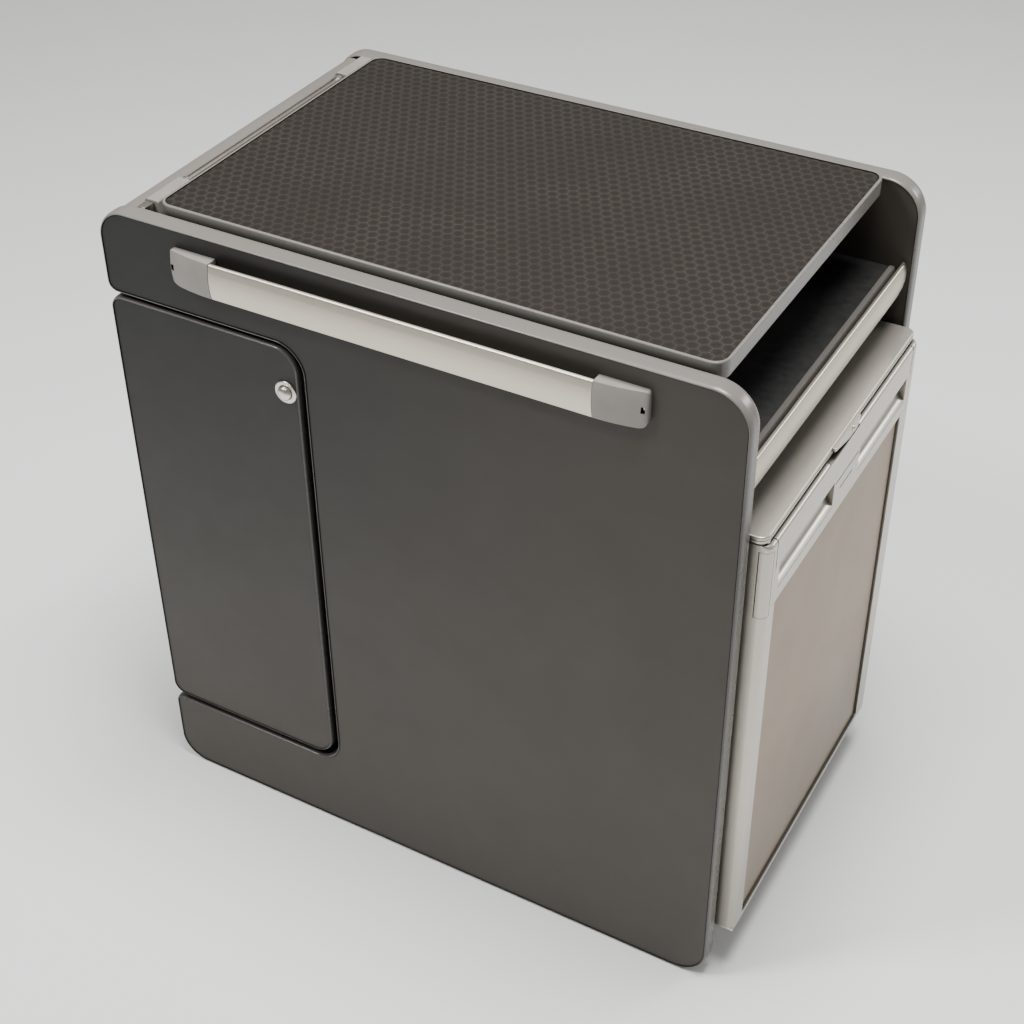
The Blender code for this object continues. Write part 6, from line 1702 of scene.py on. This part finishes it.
# %% Sink fittings
WASTE_BORE = 12 * MM
WASTE_FLANGE_HEIGHT = 1.6 * MM
WASTE_NUT = 23 * MM
WASTE_NUT_HEIGHT = 9 * MM
WASTE_TAIL = 15 * MM
WASTE_EDGE = 0.6 * MM
STRAINER_RADIUS = 11.8 * MM
STRAINER_HOLES = 8
STRAINER_HOLE = 1.8 * MM
STRAINER_RING_SHARE = 0.62
HOLE_STEPS = 24
TAP_STEM_RADIUS = 8 * MM
TAP_STEM_DEPTH = 20 * MM
TAP_NECK_RADIUS = 12 * MM
TAP_ARM_HEIGHT = 11 * MM
TAP_ARM_WIDTH = 14 * MM
TAP_NOZZLE_RADIUS = 6.7 * MM
TAP_EDGE = 1.6 * MM
AERATOR_RADIUS = 5.2 * MM
AERATOR_DEPTH = 3 * MM


def waste():
    """The waste's flange, stem, nut and tail, and the strainer in its bore."""
    low, high = span("sink_waste")
    seat = high.z - WASTE_FLANGE_HEIGHT
    flange = (high.x - low.x) / 2
    under = seat - STEEL - 2 * GAP
    nut = under - WASTE_NUT_HEIGHT
    section = [(WASTE_BORE, low.z, 0), (WASTE_TAIL, low.z, WASTE_EDGE), (WASTE_TAIL, nut, 0)]
    section += [(WASTE_NUT, nut, WASTE_EDGE), (WASTE_NUT, under, WASTE_EDGE)]
    section += [(WASTE_STEM, under, 0), (WASTE_STEM, seat, 0), (flange, seat, 0)]
    section += [(flange, high.z, WASTE_EDGE), (WASTE_BORE, high.z, WASTE_EDGE)]
    mesh = turned(rounded(section, steps=SECTION_STEPS), waste_centre, plan_view, closed=True)
    piece("sink_waste_fine", mesh, stainless, stands_for="sink_waste")
    top = high.z - WASTE_EDGE
    disc = turned([(STRAINER_RADIUS, top - STEEL), (STRAINER_RADIUS, top)], waste_centre, plan_view)
    profile = [(STRAINER_HOLE, -OVERRUN), (STRAINER_HOLE, STEEL + OVERRUN)]
    drill = turned(profile, (0, 0), plan_view, steps=HOLE_STEPS)
    shift = Vector((*waste_centre, top - STEEL))
    values = {"Count": STRAINER_HOLES, "Radius": STRAINER_RADIUS * STRAINER_RING_SHARE, "Finish": stainless}
    holes = repeat(ring_tree, drill, shift, **values)
    piece("sink_strainer", disc, stainless, slot="stainless", cuts=(holes,))


def tap():
    """The tap's base and its swivelling spout."""
    base_low, base_high = span("tap_base")
    low, high = span("tap_spout")
    centre = ((base_low.x + base_high.x) / 2, (base_low.y + base_high.y) / 2)
    radius = (base_high.x - base_low.x) / 2
    shoulder = base_high.z - 2 * TAP_EDGE
    bore = TAP_STEM_RADIUS + GAP
    socket = base_high.z - TAP_STEM_DEPTH - GAP
    section = [(radius, base_low.z, 0), (radius, base_low.z + 2 * TAP_EDGE, TAP_EDGE)]
    section += [(radius - TAP_EDGE, base_low.z + 2 * TAP_EDGE, GAP), (radius - TAP_EDGE, shoulder, TAP_EDGE)]
    section += [(TAP_NECK_RADIUS + TAP_EDGE, base_high.z, TAP_EDGE), (bore, base_high.z, 0)]
    section += [(bore, socket, 0), (GAP, socket, 0)]
    profile = rounded(section, steps=SECTION_STEPS)
    piece("tap_base_fine", turned(profile, centre, plan_view), nickel, stands_for="tap_base")
    neck = base_high.z + GAP
    section = [(TAP_STEM_RADIUS, low.z, 0), (TAP_STEM_RADIUS, neck, 0), (TAP_NECK_RADIUS, neck, GAP)]
    section += [(TAP_NECK_RADIUS, high.z, TAP_EDGE), (GAP, high.z, 0)]
    stem = turned(rounded(section, steps=SECTION_STEPS), centre, plan_view)
    half = TAP_ARM_WIDTH / 2
    corners = rectangle(centre[0] - half, centre[0] + half, low.y, centre[1], half - GAP)
    arm = layered(corners, [(high.z - TAP_ARM_HEIGHT, 0), (high.z - GAP, 0)], plan_view)
    nozzle_centre = (centre[0], low.y + half)
    under = high.z - TAP_ARM_HEIGHT - (base_high.z + TAP_NECK_RADIUS - low.z) / 2
    profile = [(TAP_NOZZLE_RADIUS, under), (TAP_NOZZLE_RADIUS, high.z - 2 * GAP)]
    nozzle = turned(profile, nozzle_centre, plan_view)
    profile = [(AERATOR_RADIUS, under - OVERRUN), (AERATOR_RADIUS, under + AERATOR_DEPTH)]
    aerator = turned(profile, nozzle_centre, plan_view)
    values = {"body": "tap_spout", "stands_for": "tap_spout", "bevel": TAP_EDGE}
    piece("tap_spout_fine", stem, nickel, joins=(arm, nozzle), cuts=(aerator,), **values)


waste()
tap()

# %% [markdown]
# The fridge's shelf is welded from nickel-plated wire: a thick frame with a row of thinner wires across it.

# %% Wire shelf
WIRE_BORDER = 9 * MM
WIRE_COUNT = 8
FRAME_WIRE = 2.5 * MM
THIN_WIRE = 2 * MM
WIRE_CORNER = 8 * MM
WIRE_STEPS = 16


def wire_shelf():
    """The shelf's frame and its wires."""
    low, high = span("fridge_wire_shelf")
    circle = []
    for step in range(WIRE_STEPS):
        angle = 2 * math.pi * step / WIRE_STEPS
        circle.append((FRAME_WIRE * (math.cos(angle) - 1), FRAME_WIRE * (math.sin(angle) + 1)))
    outline = rounded(rectangle(low.x, high.x, low.y, high.y, WIRE_CORNER))
    ring = sweep(outline, circle, plan_view, low.z, nickel)
    half = (low.z + high.z) / 2
    profile = [(THIN_WIRE, low.x + FRAME_WIRE), (THIN_WIRE, high.x - FRAME_WIRE)]
    wire = turned(profile, (0, 0), end_view, steps=WIRE_STEPS)
    pitch = (high.y - low.y - 2 * WIRE_BORDER + 2 * THIN_WIRE) / (WIRE_COUNT + 1)
    first = Vector((0, low.y + WIRE_BORDER + pitch - THIN_WIRE, half))
    wires = repeat(row_tree, wire, first, Count=WIRE_COUNT, Step=(0, pitch, 0), Finish=nickel)
    piece("fridge_wire_shelf_fine", together([ring, wires]), nickel, stands_for="fridge_wire_shelf")


wire_shelf()

# %% [markdown]
# Raised-head screws hold the fittings. One is turned and gets a crossed slot. The node tree then repeats it
# wherever a fitting needs one, facing the way that fitting faces.

# %% Screws
HEAD = 3.1 * MM
HEAD_RISE = 1.1 * MM
HEAD_STEPS = 6
SHANK = 1.5 * MM
SHANK_LENGTH = 1.2 * MM
CROSS_LENGTH = 3.4 * MM
CROSS_WIDTH = 0.8 * MM
CROSS_DEPTH = 0.7 * MM
FACING_UP = (0, 0, 0)
FACING_DOWN = (math.pi, 0, 0)
FACING_RIGHT = (0, math.pi / 2, 0)
FACING_LEFT = (0, -math.pi / 2, 0)
SCREW_INSET = 7.5 * MM
SCREW_STEPS = 32
ARM_SCREW_SHARES = (0.5, 0.7, 0.9)


def screw():
    """One screw, its head up and its seat at the origin."""
    profile = [(SHANK, -SHANK_LENGTH), (SHANK, 0), (HEAD, 0)]
    for angle in quarter_round(HEAD_STEPS)[1:-1]:
        profile.append((HEAD * math.cos(angle), HEAD_RISE * math.sin(angle)))
    blank = show("screw_blank", turned(profile, (0, 0), plan_view, steps=SCREW_STEPS))
    long_side = CROSS_LENGTH / 2
    short_side = CROSS_WIDTH / 2
    top = HEAD_RISE + OVERRUN
    for across, along in ((long_side, short_side), (short_side, long_side)):
        work(blank, block((-across, -along, HEAD_RISE - CROSS_DEPTH), (across, along, top)), "DIFFERENCE")
    mesh = bmesh.new()
    mesh.from_mesh(blank.data)
    clear_away(blank)
    bmesh.ops.translate(mesh, vec=-CORNER, verts=mesh.verts)
    return mesh


def screws(fitting, points, facing, seed, body="cabinet"):
    """Screws in a fitting, at those points of the pod's corner frame."""
    values = {"Facing": facing, "Seed": seed, "Finish": zinc_plate}
    mesh = repeat(screw_tree, screw(), (0, 0, 0), points=points, **values)
    piece(fitting + "_screws", mesh, zinc_plate, body, slot="zinc_steel")


def near_ends(low, high):
    """Two places, one a screw's inset from each end."""
    return (low + SCREW_INSET, high - SCREW_INSET)


low, high = span("hob_tray")
points = [(x, y, high.z) for x in near_ends(low.x, high.x) for y in near_ends(low.y, high.y)]
screws("hob_tray", points, FACING_UP, seed=1)
for seed, name in enumerate(("lid_arm_near", "lid_arm_far"), 2):
    low, high = span(name)
    middle = (low.y + high.y) / 2
    points = [(low.x + (high.x - low.x) * share, middle, low.z) for share in ARM_SCREW_SHARES]
    screws(name, points, FACING_DOWN, seed, "lid")
for seed, name in enumerate(("door_hinge_frame_lower", "door_hinge_frame_upper"), 4):
    low, high = span(name)
    points = [(high.x - STEEL, high.y - SCREW_INSET, z) for z in near_ends(low.z, high.z)]
    screws(name, points, FACING_LEFT, seed)
for seed, name in enumerate(("corner_bracket_near", "corner_bracket_far"), 6):
    low, high = span(name)
    points = [(low.x + STEEL, (low.y + high.y) / 2, z) for z in near_ends(low.z, high.z)]
    screws(name, points, FACING_RIGHT, seed)
print("screw groups:", sum(1 for name in pieces if name.endswith("_screws")))

# %% [markdown]
# The rest of the frame's solids keep their shape. Their edges are eased where they are, by two modifiers that
# leave the solids themselves as they were: the first joins their loose triangles, the second adds the bevel.

# %% Eased edges on the remaining solids
HARD_EASE = 0.4 * MM
HARD_SEGMENTS = 2
replaced = set()
for made in pieces.values():
    replaced.update(made.get("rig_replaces", []))
for name, thing in nodes.items():
    if name in replaced:
        continue
    joined = thing.modifiers.new("joined", "WELD")
    joined.merge_threshold = SAME_POINT
    eased = thing.modifiers.new("eased_edges", "BEVEL")
    eased.width = HARD_EASE
    eased.segments = HARD_SEGMENTS
    eased.limit_method = "ANGLE"
    eased.angle_limit = BEVEL_ANGLE
print("solids kept:", len(nodes) - len(replaced), "of", len(nodes))

# %% [markdown]
# The floor is a plain pale sheet of studio paper, twelve metres wide, so that its edge stays out of the
# picture.

# %% Floor
FLOOR_SIZE = 12
look = {"roughness": (0.8, 0.9), "patch": 1, "relief": 0}
floor_finish = plain_finish("studio_floor_paper", "#F4F4F2", "#F7F7F5", **look)
floor_mesh = bmesh.new()
bmesh.ops.create_grid(floor_mesh, x_segments=1, y_segments=1, size=FLOOR_SIZE / 2)
floor_data = bpy.data.meshes.new("studio_floor")
floor_mesh.to_mesh(floor_data)
floor_mesh.free()
floor_data.materials.append(floor_finish)
studio_floor = add_object("studio_floor", floor_data)

# %% [markdown]
# The light is a white studio: an even pale surrounding and three soft boxes. The largest hangs over the pod,
# a small one beyond its far right corner lights the fridge door, and one at the front left the near panel.

# %% Light
WORLD_STRENGTH = 0.26


def soft_box(name, place, target, size, power):
    """A square area light that looks at a point."""
    data = bpy.data.lights.new(name, "AREA")
    data.shape = "SQUARE"
    data.size = size
    data.energy = power
    light = add_object(name, data)
    light.location = place
    way = Vector(target) - Vector(place)
    light.rotation_euler = way.to_track_quat("-Z", "Y").to_euler()
    return light


world = bpy.data.worlds.new("white_studio")
bpy.context.scene.world = world
world.use_nodes = True
background = world.node_tree.nodes["Background"]
background.inputs["Color"].default_value = hex_colour("#FFFFFF")
background.inputs["Strength"].default_value = WORLD_STRENGTH
POD_MIDDLE = (0, 0, 0.5)
FRIDGE_MIDDLE = (0.2, 0, 0.5)
soft_box("soft_box_over", place=(0.3, -0.1, 2.9), target=POD_MIDDLE, size=1.1, power=108)
soft_box("soft_box_behind", place=(2.0, 2.3, 1.6), target=FRIDGE_MIDDLE, size=0.6, power=24)
soft_box("soft_box_left", place=(-1.2, -1.45, 2.8), target=POD_MIDDLE, size=0.5, power=56)
